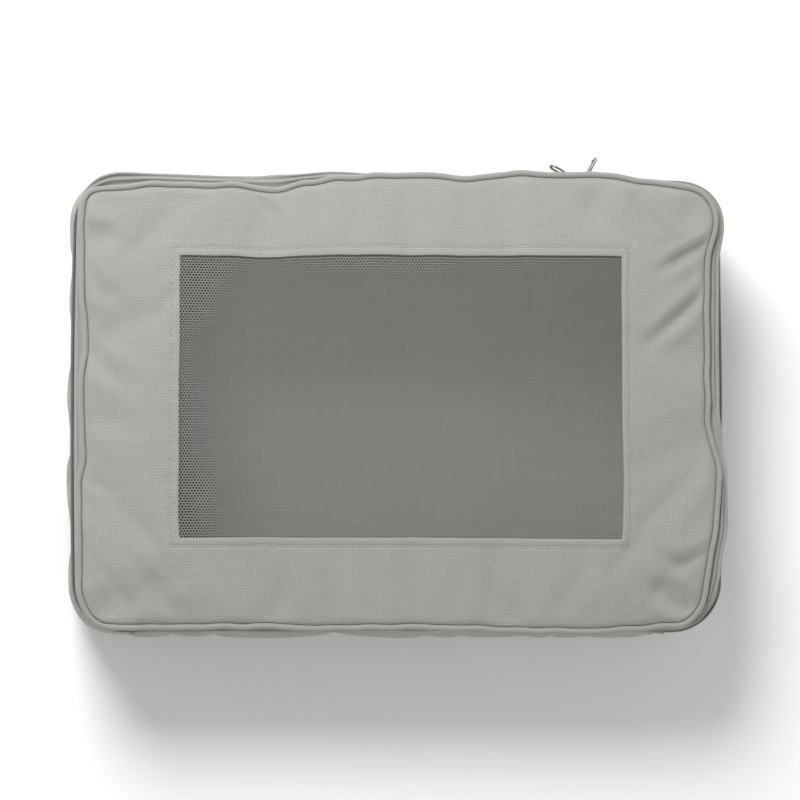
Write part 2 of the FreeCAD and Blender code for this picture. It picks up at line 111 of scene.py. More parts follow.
PLAN_S, PLAN = plan_table()
LOOP = PLAN_S[-1]
OPEN_RUN = (ZIP_END, LOOP - ZIP_END)


def plan(s):
    """x, y and the outward normal's x, y at distances s."""
    return [np.interp(np.asarray(s) % LOOP, PLAN_S, column) for column in PLAN.T]


def wall(s, out, z):
    """Points at distance s round the plan, this far outside it, at this height."""
    x, y, nx, ny = plan(s)
    return np.stack(np.broadcast_arrays(x + out * nx, y + out * ny, z), axis=-1)


def outward(s):
    """The plan's outward normal as a 3-D vector."""
    _, _, nx, ny = plan(s)
    return np.stack([nx, ny, np.zeros_like(nx)], axis=-1)


def wave(s, counts, seed):
    """A smooth closed ripple round the plan, mostly from -1 to 1."""
    phases = np.random.default_rng(seed).uniform(0, 2 * math.pi, len(counts))
    total = sum(np.sin(2 * math.pi * c * np.asarray(s) / LOOP + p) for c, p in zip(counts, phases))
    return total / math.sqrt(len(counts))


def bow(s, front, side, rear):
    """How far a seam bows out at the middles of the straight runs."""
    x, y, nx, ny = plan(s)
    over_x = 1 - (x / HALF_X) ** 2
    over_y = 1 - (y / HALF_Y) ** 2
    in_front = np.clip(-ny, 0, 1) ** 2
    behind = np.clip(ny, 0, 1) ** 2
    return front * over_x * in_front + rear * over_x * behind + side * over_y * nx**2


def cornerness(s):
    """1 in the middle of a rounded corner, 0 on the straight runs."""
    _, _, nx, ny = plan(s)
    return 4 * nx**2 * ny**2


def smooth_step(t):
    """0 to 1, with no slope at either end."""
    t = np.clip(t, 0, 1)
    return t * t * (3 - 2 * t)


def hump(distance, width):
    """1 at no distance, falling off smoothly over about twice the width."""
    return np.exp(-((distance / width) ** 2))


def eased(place, knots):
    """A smooth offset at places along a side, through knots of (place, offset) in millimetres."""
    at, offset = np.array(knots, float).T * MM
    k = np.clip(np.searchsorted(at, place) - 1, 0, len(at) - 2)
    t = smooth_step((place - at[k]) / (at[k + 1] - at[k]))
    return offset[k] * (1 - t) + offset[k + 1] * t


def side_curve(s, sides, powers):
    """Distance outside the plan of a line with its own offset on each side. Its corners are squarer
    the greater their powers, given for the rear and front corners at +x, then those at -x."""
    x, y, nx, ny = plan(s)
    across = CORNER + np.where(nx > 0, eased(y, sides["plus_x"]), eased(y, sides["minus_x"]))
    ahead = CORNER + np.where(ny < 0, eased(x, sides["front"]), eased(x, sides["rear"]))
    power = np.where(x > 0, np.where(y > 0, powers[0], powers[1]), np.where(y > 0, powers[2], powers[3]))
    reach = ((np.abs(nx) / across) ** power + (np.abs(ny) / ahead) ** power) ** (-1 / power)
    return reach - CORNER


# Offsets from the walls' plan, along each side: (place, offset) in millimetres.
LID_SEAM = {
    "plus_x": ((-100, -4.6), (-76, -4.5), (-56, -5.4), (-33, -7.0), (-6, -4.7), (28, -5.9), (44, -3.9),
               (92, -4.2)),
    "minus_x": ((-98, -4.0), (-80, -8.8), (-40, -9.4), (8, -9.0), (38, -3.0), (62, -4.2), (82, -8.0),
                (100, -10.5)),
    "front": ((-150, -4.6), (-132, -2.4), (-112, 0.9), (-84, 0.5), (-62, 0.9), (-34, -2.2), (-14, -0.5),
              (14, -1.0), (32, -2.4), (50, -5.4), (69, -9.4), (90, -6.8), (112, -7.4), (134, -6.4),
              (152, -9.2)),
    "rear": ((-150, -4.5), (-104, -1.4), (-66, -2.0), (-10, -3.8), (40, -3.2), (84, -4.2), (150, -3.4)),
}
SHOULDER = {
    "plus_x": ((-100, -0.6), (100, -0.6)),
    "minus_x": ((-98, 3.0), (-78, 0.2), (-30, -0.3), (2, 0.0), (20, 1.8), (38, 4.0), (64, 4.2), (88, 0.6),
                (104, -2.0)),
    "front": ((-150, 0.4), (-120, 1.4), (-60, 0.6), (0, 1.4), (36, 3.2), (62, 1.4), (84, 0.0), (130, 1.2),
              (150, 1.8)),
    "rear": ((-150, -0.4), (150, -0.4)),
}
SWELL = {
    "plus_x": ((-100, 3.0), (-60, 2.2), (-33, 1.2), (-6, 2.8), (12, 1.9), (42, 3.6), (80, 2.0), (100, 1.8)),
    "minus_x": ((-100, 2.6), (0, 3.6), (40, 4.2), (100, 2.4)),
    "front": ((-150, 1.6), (-40, 3.2), (60, 3.8), (150, 1.8)),
    "rear": ((-150, 1.2), (-50, 2.2), (40, 1.8), (150, 1.4)),
}


def lid_seam(s):
    """Where the lid panel meets its piping: distance outside the plan, and height."""
    out = side_curve(s, LID_SEAM, (2.5, 4.2, 2.2, 2.7)) + 0.28 * MM * wave(s, (19, 31, 43, 58), 1)
    _, _, _, ny = plan(s)
    behind = np.clip(ny, 0, 1) ** 2
    ripple = 0.45 * MM * wave(s, (6, 11, 18, 27), 2)
    return out, SEAM_Z - 1.0 * MM * cornerness(s) - 1.6 * MM * behind + ripple


def base_seam(s):
    """Where the base panel meets its piping."""
    out = -INSET + bow(s, 1.0 * MM, 0.8 * MM, 0.8 * MM) + 0.3 * MM * wave(s, (8, 13, 21), 3)
    return out, 2.3 * MM


def zip_line(s):
    """The tape's outer face and the zip's middle. The front run stays straight for the sliders."""
    _, _, _, ny = plan(s)
    free = 1 - np.clip(-ny, 0, 1)
    out = TAPE_OUT + free * bow(s, 0, 1.6 * MM, 0)
    return out, ZIP_Z + free * 0.7 * MM * wave(s, (5, 9, 14), 4)


# ---- Mesh helpers ----


def unit(vectors):
    return vectors / np.linalg.norm(vectors, axis=-1, keepdims=True)


def distances(line):
    """How far along a line of points each of them lies."""
    return np.concatenate([[0], np.cumsum(np.linalg.norm(np.diff(line, axis=0), axis=1))])


def curve_through(knots, count):
    """Points on a Catmull-Rom curve through the knots, along the first axis."""
    knots = np.asarray(knots, float)
    ends = np.concatenate([2 * knots[:1] - knots[1:2], knots, 2 * knots[-1:] - knots[-2:-1]])
    t = np.linspace(0, len(knots) - 1, count)
    k = np.minimum(t.astype(int), len(knots) - 2)
    f = (t - k).reshape((-1,) + (1,) * (knots.ndim - 1))
    p0, p1, p2, p3 = (ends[k + i] for i in range(4))
    bend = (2 * p0 - 5 * p1 + 4 * p2 - p3) * f + (3 * p1 - p0 - 3 * p2 + p3) * f**2
    return p1 + 0.5 * f * (p2 - p0 + bend)


def mesh_object(name, points, faces, uv=None):
    """A smooth-shaded mesh object. uv has one row per face corner."""
    mesh = bpy.data.meshes.new(name)
    mesh.from_pydata(np.asarray(points).reshape(-1, 3).tolist(), [], [list(f) for f in faces])
    if uv is not None:
        layer = mesh.uv_layers.new(name="cloth")
        layer.data.foreach_set("uv", np.asarray(uv, np.float32).ravel())
    mesh.polygons.foreach_set("use_smooth", np.ones(len(mesh.polygons), bool))
    made = bpy.data.objects.new(name, mesh)
    bpy.context.scene.collection.objects.link(made)
    return made


def grid_index(rows, columns, wrap_rows, wrap_columns):
    """Point numbers of a grid, with the first row or column again at the end where it wraps."""
    index = np.arange(rows * columns).reshape(rows, columns)
    if wrap_rows:
        index = np.vstack([index, index[:1]])
    if wrap_columns:
        index = np.hstack([index, index[:, :1]])
    return index


def cells(values):
    """The four corner values of each cell of a grid."""
    return np.stack([values[:-1, :-1], values[1:, :-1], values[1:, 1:], values[:-1, 1:]], axis=2)


def grid_object(name, points, uv, wrap=(False, False), flip=False):
    """A sheet or tube from a grid of points. uv has one more row or column where the grid wraps."""
    index = grid_index(*points.shape[:2], *wrap)
    faces = cells(index).reshape(-1, 4)
    corners = cells(uv).reshape(-1, 4, 2)
    if flip:
        faces = faces[:, ::-1]
        corners = corners[:, ::-1]
    return mesh_object(name, points, faces, corners.reshape(-1, 2))


def uv_grid(along, across):
    """Cloth coordinates in metres from distances along and across."""
    return np.stack(np.meshgrid(along, across, indexing="ij"), axis=-1)


def thicken(obj, thickness):
    """Gives a sheet its thickness, inwards from its visible face."""
    solid = obj.modifiers.new("Thickness", "SOLIDIFY")
    solid.thickness = thickness
    solid.offset = -1
    return obj


def subdivide(obj):
    """One level of smoothing, in the view and in the render."""
    surface = obj.modifiers.new("Smooth", "SUBSURF")
    surface.levels = 1
    surface.render_levels = 1
    return obj


def ellipse(width, height, count, power=2.0):
    """A closed section, width by height, squarer as power grows."""
    turn = np.linspace(0, 2 * math.pi, count, endpoint=False)
    c = np.cos(turn)
    s = np.sin(turn)
    x = np.sign(c) * np.abs(c) ** (2 / power) * width / 2
    y = np.sign(s) * np.abs(s) ** (2 / power) * height / 2
    return np.stack([x, y], axis=-1)


def rework(obj, *changes):
    """Runs bmesh changes on an object's mesh."""
    work = bmesh.new()
    work.from_mesh(obj.data)
    for change in changes:
        change(work)
    work.to_mesh(obj.data)
    work.free()
    return obj


def fill_rims(work):
    bmesh.ops.holes_fill(work, edges=[e for e in work.edges if e.is_boundary], sides=0)


def face_outwards(work):
    bmesh.ops.recalc_face_normals(work, faces=work.faces)


def weld(work):
    bmesh.ops.remove_doubles(work, verts=work.verts, dist=0.05 * MM)


def tube(name, centre, side, up, section, closed=True):
    """Sweeps a closed section along a path. section is one outline, or one for each path point."""
    section = np.broadcast_to(section, (len(centre),) + np.shape(section)[-2:])
    points = centre[:, None] + side[:, None] * section[..., :1] + up[:, None] * section[..., 1:]
    along = distances(np.concatenate([centre, centre[:1]]) if closed else centre)
    across = distances(np.concatenate([section[0], section[0][:1]]))
    made = grid_object(name, points, uv_grid(along, across), (closed, True))
    return rework(made, fill_rims, face_outwards)


def plan_tube(name, s, out, z, section):
    """A closed tube that follows the plan: section x points outwards and section y upwards."""
    return tube(name, wall(s, out, z), outward(s), np.broadcast_to(UP, (len(s), 3)), section)


def thread_template(length, radius):
    """Points and faces of one stitch: a short thread whose ends dive into the cloth."""
    sides = 6
    # place along the stitch as a share of its length, then size and height as shares of the radius
    half = [(0.2, 1, 0.3), (0.42, 0.9, -0.4), (0.5, 0.45, -1.2)]
    stations = [(-x, size, lift) for x, size, lift in half[::-1]] + half
    turn = np.linspace(0, 2 * math.pi, sides, endpoint=False)
    points = [
        (x * length, size * radius * math.cos(a), radius * (lift + size * math.sin(a)))
        for x, size, lift in stations
        for a in turn
    ]
    index = grid_index(len(stations), sides, False, True)
    faces = cells(index).reshape(-1, 4).tolist()
    faces.append(list(range(sides)))
    faces.append(list(range(len(points) - 1, len(points) - 1 - sides, -1)))
    return np.array(points), faces


def stitches(name, centres, along, normals, length=STITCH, radius=THREAD_R):
    """A row of stitches, each at its centre, lying along the cloth."""
    template, faces = thread_template(length, radius)
    side = np.cross(normals, along)
    points = (
        centres[:, None]
        + along[:, None] * template[None, :, :1]
        + side[:, None] * template[None, :, 1:2]
        + normals[:, None] * template[None, :, 2:]
    )
    every = [[v + k * len(template) for v in face] for k in range(len(centres)) for face in faces]
    return rework(mesh_object(name, points, every), face_outwards)


def on_cloth(cloth, points, normals, lift):
    """Moves points along their normals until they lie this far over the cloth's visible face."""
    tree = BVHTree.FromObject(cloth, bpy.context.evaluated_depsgraph_get())
    placed = np.array(points)
    search = 5 * MM
    for k, (point, normal) in enumerate(zip(points, normals)):
        inwards = -Vector(normal)
        hit = tree.ray_cast(Vector(point) - search * inwards, inwards, 2 * search)[0]
        if hit is not None:
            placed[k] = hit
    return placed + lift * normals


def sewn(name, cloth, centres, ahead, normals):
    """A row of stitches on a finished cloth, each heading for the point ahead of it."""
    centres = on_cloth(cloth, centres, normals, STITCH_LIFT)
    ahead = on_cloth(cloth, ahead, normals, STITCH_LIFT)
    return stitches(name, centres, unit(ahead - centres), normals)


# ---- Cloth simulation ----

SETTLING_FRAMES = 30
CLOTH_SETTINGS = {
    "quality": 6,
    "mass": 0.15,
    "tension_stiffness": 25,
    "compression_stiffness": 20,
    "shear_stiffness": 8,
    "bending_stiffness": 0.6,
    "air_damping": 3,
    "vertex_group_mass": "held",
    "use_pressure": True,
}


def settle(points, held, pressure, slack, cap):
    """Lets a grid of cloth come to rest under pressure, held at some of its points.

    slack is the share by which the cloth is longer than the grid. No point moves further than cap.
    """
    scene = bpy.context.scene
    sheet = grid_object("settling", points, np.zeros(points.shape[:2] + (2,)))
    group = sheet.vertex_groups.new(name="held")
    group.add([int(k) for k in np.flatnonzero(held.ravel())], 1.0, "REPLACE")
    cloth = sheet.modifiers.new("Cloth", "CLOTH")
    for name, value in CLOTH_SETTINGS.items():
        setattr(cloth.settings, name, value)
    cloth.settings.uniform_pressure_force = pressure
    cloth.settings.shrink_min = -slack
    cloth.settings.effector_weights.gravity = 0
    cloth.point_cache.frame_start = 1
    cloth.point_cache.frame_end = SETTLING_FRAMES
    for number in range(1, SETTLING_FRAMES + 1):
        scene.frame_set(number)
    final = np.empty(points.size, np.float32)
    graph = bpy.context.evaluated_depsgraph_get()
    sheet.evaluated_get(graph).data.vertices.foreach_get("co", final)
    mesh = sheet.data
    bpy.data.objects.remove(sheet)
    bpy.data.meshes.remove(mesh)
    scene.frame_set(1)
    moved = final.reshape(points.shape).astype(float) - points
    length = np.linalg.norm(moved, axis=-1, keepdims=True)
    return points + moved * np.minimum(1, cap / np.maximum(length, 1e-9))


# ---- The lid's surface ----

LID_STEP = 3.5 * MM
RING_STEP = 2.4 * MM
CROWN = 5.5 * MM
ROLL = 3.2 * MM
LIFT = 1.0 * MM
CREASES = (
    # start x, y and end x, y, half width, depth: dents that run in from the seam
    (-167, -88, -139, -71, 2.7, 3.3),
    (-165, -58, -132, -31, 3.3, 3.1),
    (-166, -78, -156, -80, 2.2, 0.9),
    (-168, 79, -150, 88, 2.6, 2.2),
    (-154, 88, -138, 80, 3.4, 1.5),
    (-154, 109, -128, 91, 4.2, 2.1),
    (168, -92, 146, -84, 4.2, 1.3),
    (168, -68, 148, -50, 3.6, 1.1),
    (166, -24, 142, -6, 4.2, 1.5),
    (170, 39, 152, 49, 2.8, 1.1),
    (150, 106, 112, 86, 6.5, 1.1),
    (76, -110, 66, -100, 2.4, 0.9),
    (62, -112, 58, -102, 2.0, 0.7),
    (-112, -118, -96, -88, 6.0, 0.9),
    (-60, 114, -44, 92, 5.5, 0.8),
    (70, 116, 60, 92, 5.5, 0.7),
)


def border_distance(x, y):
    """How far inside the lid panel's edge a flat point lies."""
    radius = CORNER - INSET
    qx = np.abs(x) - (PANEL_X - radius)
    qy = np.abs(y) - (PANEL_Y - radius)
    outside = np.hypot(np.maximum(qx, 0), np.maximum(qy, 0)) + np.minimum(np.maximum(qx, qy), 0)
    return radius - outside


def nearest_s(x, y):
    """The distance round the plan of the seam point nearest to each flat point."""
    s = np.arange(0, LOOP, 1.5 * MM)
    edge = wall(s, -INSET, 0)
    gaps = (np.ravel(x)[:, None] - edge[:, 0]) ** 2 + (np.ravel(y)[:, None] - edge[:, 1]) ** 2
    return s[np.argmin(gaps, axis=1)].reshape(np.shape(x))


def crease_depth(x, y):
    """The depth of the dents at flat points."""
    depth = np.zeros_like(x)
    for x0, y0, x1, y1, width, deep in CREASES:
        start = np.array([x0, y0]) * MM
        run = np.array([x1, y1]) * MM - start
        t = ((x - start[0]) * run[0] + (y - start[1]) * run[1]) / (run @ run)
        away = np.abs((x - start[0]) * run[1] - (y - start[1]) * run[0]) / math.hypot(*run)
        fade = hump(np.maximum(0, t - 0.45), 0.4) * hump(np.minimum(0, t), 0.3)
        ridge = 0.45 * hump(away - 2.1 * width * MM, width * MM)
        depth += deep * MM * fade * (hump(away, width * MM) - ridge)
    return depth


def lid_start():
    """The lid's flat grid, the grid before it settles, and which points the seam holds."""
    xs = np.linspace(-PANEL_X, PANEL_X, round(2 * PANEL_X / LID_STEP) + 1)
    ys = np.linspace(-PANEL_Y, PANEL_Y, round(2 * PANEL_Y / LID_STEP) + 1)
    x, y = np.meshgrid(xs, ys, indexing="ij")
    s = nearest_s(x, y)
    _, _, nx, ny = plan(s)
    out, seam_z = lid_seam(s)
    inside = border_distance(x, y)
    pull = (out + INSET) * np.exp(-np.maximum(inside, 0) / (24 * MM))
    depth = np.clip(inside, 0, None)
    dome = (1 - (x / PANEL_X) ** 2) * (1 - (y / PANEL_Y) ** 2)
    near = np.exp(-depth / (15 * MM))
    z = SEAM_Z + (seam_z - SEAM_Z) * near + 0.6 * CROWN * np.clip(dome, 0, 1) ** 0.6
    start = np.stack([x + pull * nx, y + pull * ny, z], axis=-1)
    return xs, ys, start, inside < 0.5 * LID_STEP


LID_X, LID_Y, LID_GRID, LID_HELD = lid_start()
LID_GRID = settle(LID_GRID, LID_HELD, pressure=1.2, slack=0.006, cap=9 * MM)


def cubic(f):
    """Catmull-Rom weights for the four grid lines round a fraction."""
    return (
        0.5 * f * (-1 + f * (2 - f)),
        1 + 0.5 * f * f * (-5 + 3 * f),
        0.5 * f * (1 + f * (4 - 3 * f)),
        0.5 * f * f * (f - 1),
    )


def lid_point(x, y, below=0.0, finish=True):
    """The lid's surface over flat points x, y. finish adds the roll and puckers next to the seam."""
    u = np.clip((x - LID_X[0]) / (LID_X[1] - LID_X[0]), 0, len(LID_X) - 1.0001)
    v = np.clip((y - LID_Y[0]) / (LID_Y[1] - LID_Y[0]), 0, len(LID_Y) - 1.0001)
    i = u.astype(int)
    j = v.astype(int)
    total = 0
    for a, wa in enumerate(cubic(u - i)):
        for b, wb in enumerate(cubic(v - j)):
            row = np.clip(i + a - 1, 0, len(LID_X) - 1)
            column = np.clip(j + b - 1, 0, len(LID_Y) - 1)
            total = total + (wa * wb)[..., None] * LID_GRID[row, column]
    if finish:
        total = total + lid_finish(x, y)[..., None] * UP
    return total + (LIFT - below) * UP


def lid_finish(x, y):
    """Height added by the seam's roll, its puckers and the welt round the window."""
    inside = np.maximum(border_distance(x, y), 0)
    s = nearest_s(x, y)
    roll = -1.1 * MM * (1 - np.minimum(inside / ROLL, 1)) ** 2
    gather = wave(s, (61, 83, 97, 122), 5) * (0.6 + 0.4 * wave(s, (5, 9), 6))
    puckers = 0.30 * MM * gather * np.exp(-inside / (7 * MM)) * smooth_step(inside / (2 * MM))
    to_window = np.maximum(np.abs(x) - WINDOW_X, np.maximum(y - WINDOW_HIGH, WINDOW_LOW - y))
    to_row = to_window - WINDOW_STITCH
    line = -0.48 * MM * hump(to_row, 0.7 * MM)
    welt = 0.25 * MM * hump(to_window - 0.45 * WINDOW_STITCH, 1.6 * MM)
    ripple = 0.16 * MM * wave(s, (71, 103, 131), 7) * hump(to_row, 5 * MM)
    dents = crease_depth(x, y) * smooth_step(inside / (4 * MM)) * smooth_step(to_window / (12 * MM))
    return roll + puckers + line + welt + ripple - dents


def window_point(q, grow=0.0):
    """Flat x, y on the window's edge at q from 0 to 4, one side each, clockwise from the rear right."""
    middle = (WINDOW_LOW + WINDOW_HIGH) / 2
    half_y = (WINDOW_HIGH - WINDOW_LOW) / 2 + grow
    half_x = WINDOW_X + grow
    side = np.floor(q).astype(int) % 4
    t = q - np.floor(q)
    corner_x = np.array([1, 1, -1, -1, 1])
    corner_y = np.array([1, -1, -1, 1, 1])
    x = half_x * (corner_x[side] * (1 - t) + corner_x[side + 1] * t)
    y = middle + half_y * (corner_y[side] * (1 - t) + corner_y[side + 1] * t)
    return x, y


def border_s(q):
    """The plan distance that faces q: the corners' middles are at whole numbers."""
    a = HALF_X - CORNER
    b = HALF_Y - CORNER
    arc = math.pi / 2 * CORNER
    first = a + arc / 2
    marks = np.cumsum([first, 2 * b + arc, 2 * a + arc, 2 * b + arc, 2 * a + arc])
    return np.interp(q, np.arange(5), marks)


def window_sides(grow=0.0):
    """The lengths of the window's sides, in the order of q."""
    length = 2 * (WINDOW_X + grow)
    width = WINDOW_HIGH - WINDOW_LOW + 2 * grow
    return width, length, width, length


def spread_q(counts, start=0.0):
    """This many values of q on each side, evenly spaced, from a share of the first space."""
    return np.concatenate([side + (np.arange(n) + start) / n for side, n in enumerate(counts)])


def ring_counts():
    """How many steps a ring of cloth has on each side of the window."""
    return [round(side / RING_STEP) for side in window_sides()]


def ring_flat(q, share):
    """A grid of flat x, y between the window's edge (share 0) and the panel's edge (share 1)."""
    x, y = window_point(q[:, None])
    edge = wall(border_s(q), -INSET, 0)
    return x + share * (edge[:, :1] - x), y + share * (edge[:, 1:2] - y)


def ring_uv(q, share):
    """Cloth coordinates of a ring's grid, with its first row again at the end."""
    return np.stack(ring_flat(np.append(q, 4.0), share), axis=-1)


# ---- Lid pieces ----


def build_lid_cloth():
    """The panel round the window: a ring that rolls down into the seam and is folded at the window."""
    q = spread_q(ring_counts())
    t = np.linspace(0, 1, 46)
    share = t - 0.08 * np.sin(2 * math.pi * t)
    x, y = ring_flat(q, share)
    points = lid_point(x, y)
    s = border_s(q)
    out, z = lid_seam(s)
    gap = wall(s, out, z - 0.1 * MM) - points[:, -1]
    inside = np.maximum(border_distance(x, y), 0)
    points += gap[:, None] * np.exp(-inside / (9 * MM))[..., None]
    points[:, 0, 2] -= 0.35 * MM
    tuck = points[:, -1:] - 1.5 * MM * UP
    points = np.concatenate([points, tuck], axis=1)
    uv = ring_uv(q, np.append(share, 1.03))
    return thicken(grid_object("lid_cloth", points, uv, (True, False)), CLOTH)


def build_net():
    """The window's net: threads round hexagonal holes, as one layer under the panel's edge."""
    pitch = 1.62 * MM
    thread = 0.46 * MM
    reach = NET_MARGIN
    hole = (pitch - thread) / math.sqrt(3)
    columns = int(2 * (WINDOW_X + reach) / pitch) + 1
    rows = int((WINDOW_HIGH - WINDOW_LOW + 2 * reach) / (pitch * math.sqrt(3) / 2)) + 1
    j, i = np.meshgrid(np.arange(rows), np.arange(columns), indexing="ij")
    cx = (i + (j % 2) / 2 - columns / 2 + 0.25) * pitch
    cy = (j - rows / 2 + 0.5) * pitch * math.sqrt(3) / 2 + (WINDOW_LOW + WINDOW_HIGH) / 2
    turn = np.radians(30 + 60 * np.arange(6))
    x = cx[..., None] + hole * np.cos(turn)
    y = cy[..., None] + hole * np.sin(turn)
    points = lid_point(x, y, below=CLOTH + 0.1 * MM, finish=False)
    cell = (j * columns + i) * 6
    odd = j % 2
    right = (j < rows) & (i + 1 < columns)
    up_right = (j + 1 < rows) & (i + odd < columns)
    up_left = (j + 1 < rows) & (i + odd - 1 >= 0)
    to_right = cell + 6
    to_up_right = cell + (columns + odd) * 6
    to_up_left = to_up_right - 6
    # Threads between a hole and its neighbour, then the knots where three holes meet
    faces = [
        *np.stack([cell + 5, to_right + 3, to_right + 2, cell], axis=-1)[right],
        *np.stack([cell, to_up_right + 4, to_up_right + 3, cell + 1], axis=-1)[up_right],
        *np.stack([cell + 1, to_up_left + 5, to_up_left + 4, cell + 2], axis=-1)[up_left],
        *np.stack([cell, to_right + 2, to_up_right + 4], axis=-1)[right & up_right],
        *np.stack([cell + 1, to_up_right + 3, to_up_left + 5], axis=-1)[up_right & up_left],
    ]
    flat = np.stack([x, y], axis=-1).reshape(-1, 2)
    return mesh_object("window_net", points, faces, flat[np.concatenate(faces)])


def build_hem():
    """The panel's edge folded back under the net."""
    q = spread_q(ring_counts())
    grow = np.array([0.15, 0.5, 1.5, 3, 4.5, 6, 7.5, 8.7, 9.0]) * MM
    x, y = window_point(q[:, None], grow[None, :])
    points = lid_point(x, y, below=CLOTH + 0.35 * MM)
    points[..., 2] += 0.2 * MM * np.exp(-(grow / (0.5 * MM)))
    uv = np.stack(window_point(np.append(q, 3.9999)[:, None], grow[None, :]), axis=-1)
    return thicken(grid_object("window_hem_fold", points, uv, (True, False)), HEM)


def build_window_stitches(cloth):
    """A row of stitches round the window, through the panel and its hem."""
    q = spread_q([int(side / STITCH_PITCH) for side in window_sides(WINDOW_STITCH)], 0.5)
    x, y = window_point(q, WINDOW_STITCH)
    ahead_x, ahead_y = window_point(q + 0.002, WINDOW_STITCH)
    up = np.broadcast_to(UP, (len(q), 3))
    centres = on_cloth(cloth, lid_point(x, y), up, STITCH_LIFT)
    ahead = on_cloth(cloth, lid_point(ahead_x, ahead_y), up, STITCH_LIFT)
    along = unit(ahead - centres)
    across = np.cross(up, along)
    lean = 0.06 * wave(q / 4 * LOOP, (37, 53), 8)
    along = unit(along + lean[:, None] * across)
    normals = unit(np.cross(along, across))
    return stitches("window_stitches", centres, along, normals)


def seam_piping(name, seam, below):
    """The piping's cloth cover along a seam: round, a little uneven, and gathered in the corners."""
    s = np.arange(0, LOOP, 1.4 * MM)
    out, z = seam(s)
    size = 1 + 0.03 * wave(s, (63, 88, 109), 9) + 0.05 * cornerness(s) * wave(s, (170, 211), 10)
    section = ellipse(2 * PIPING_R, 2 * PIPING_R, 16)[None] * size[:, None, None]
    return plan_tube(name, s, out + PIPING_R + PIPING_GAP, z - below, section)


def seam_cord(name, seam, below):
    """The cord inside the piping."""
    s = np.arange(0, LOOP, 3.0 * MM)
    out, z = seam(s)
    section = ellipse(2 * CORD_R, 2 * CORD_R, 10)
    return plan_tube(name, s, out + PIPING_R + PIPING_GAP, z - below, section)


def seam_binding(name, seam, drop, seed):
    """The ribbed tape folded over the seam's raw edges, inside."""
    s = np.arange(0, LOOP, 2.5 * MM)
    out, z = seam(s)
    sway = 0.5 * MM * wave(s, (33, 47, 61), seed)
    flat = ellipse(9.0 * MM, 1.5 * MM, 22, 3.2)
    tilt = 0.06 * wave(s, (14, 25), seed + 1)
    c = np.cos(tilt)[:, None]
    d = np.sin(tilt)[:, None]
    turned = np.stack([flat[:, 0] * c - flat[:, 1] * d, flat[:, 0] * d + flat[:, 1] * c], axis=-1)
    return plan_tube(name, s, out - 6.0 * MM + 0.3 * sway, z + drop + 0.25 * sway, turned)


# ---- Walls ----


def bulge(s):
    """How far the wall stands out at half its height."""
    return side_curve(s, SWELL, (2.3, 2.6, 2.3, 2.5)) + 0.3 * MM * wave(s, (9, 13), 11)


def lower_wall_knots(s):
    """The wall from the gusset's top edge down and under to the base seam."""
    zip_out, _ = zip_line(s)
    out, z = base_seam(s)
    swell = bulge(s)
    return [
        (zip_out + 1.05 * MM, GUSSET_TOP),
        (zip_out + 1.15 * MM, GUSSET_TOP - 2.5 * MM),
        (zip_out + 1.6 * MM, GUSSET_TOP - 6 * MM),
        (0.75 * swell, 48 * MM),
        (swell, 34 * MM),
        (0.8 * swell, 20 * MM),
        (0.2 * swell - 0.8 * MM, 10.5 * MM),
        (out + 4.4 * MM, z + 4.1 * MM),
        (out + 2.4 * MM, z + 3.0 * MM),
        (out + 0.3 * MM, z + 2.6 * MM),
        (out - 0.5 * MM, z + 1.4 * MM),
        (out - 0.6 * MM, z - 0.6 * MM),
    ]


def upper_wall_knots(s, thick):
    """The wall from the lid seam, in under the piping, over its soft shoulder and down past it."""
    zip_out, _ = zip_line(s)
    out, z = lid_seam(s)
    face = zip_out + thick
    shoulder = side_curve(s, SHOULDER, (2, 2.4, 2, 2.4)) + thick
    width = shoulder - out
    fold = 0.7 * MM * smooth_step((width - 5 * MM) / (4 * MM))
    crest = 0.5 + 0.5 * wave(s, (9, 14, 21), 31)
    return [
        (out - 0.7 * MM, z - 0.2 * MM),
        (out - 0.5 * MM, z - 2.0 * MM),
        (out + 0.7 * MM, z - 3.0 * MM),
        (out + 0.42 * width, z - 2.9 * MM - 0.3 * fold),
        (out + 0.62 * width, z - 2.6 * MM + fold * crest),
        (out + 0.76 * width, z - 3.3 * MM - fold * (0.4 + crest)),
        (out + 0.9 * width, z - 3.1 * MM - fold * (1 - crest)),
        (shoulder, z - 4.6 * MM),
        (0.45 * shoulder + 0.55 * face, 78.6 * MM),
        (face, 77.1 * MM),
    ]


def wall_points(s, knots, rows):
    """A wall's grid: at each place along the plan, a curve through the knots, each (out, z)."""
    knots = [np.stack([np.broadcast_to(value, len(s)) for value in knot], axis=-1) for knot in knots]
    profile = curve_through(knots, rows).transpose(1, 0, 2)
    return wall(s[:, None], profile[..., 0], profile[..., 1])


def wall_uv(s, points):
    """Cloth coordinates of a wall: distance round the plan, and distance down the cloth."""
    return uv_grid(s, distances(points[len(points) // 2]))


def hold_edges(points, first_rows, last_rows):
    """Which points of a wall's grid stay where they are: its ends, its first rows and its last."""
    held = np.zeros(points.shape[:2], bool)
    held[:, :first_rows] = True
    held[:, points.shape[1] - last_rows:] = True
    held[0] = True
    held[-1] = True
    return held


def gather(points, s, held, seed, size):
    """Adds soft upright folds to a wall's free points, so that the cloth has some length to spare."""
    rows = np.linspace(0, 1, points.shape[1])[None, :]
    near = 0.35 + 0.65 * np.abs(2 * rows - 1) ** 1.5
    fold = wave(s[:, None] + 0.004 * np.sin(6 * rows), (23, 37, 49, 67), seed)
    wide = wave(s[:, None] + 0.02 * rows, (9, 14), seed + 1)
    push = size * (0.7 * fold * near + 0.6 * wide * np.sin(math.pi * rows))
    push = np.where(held, 0, push)
    return points + push[..., None] * outward(s)[:, None]


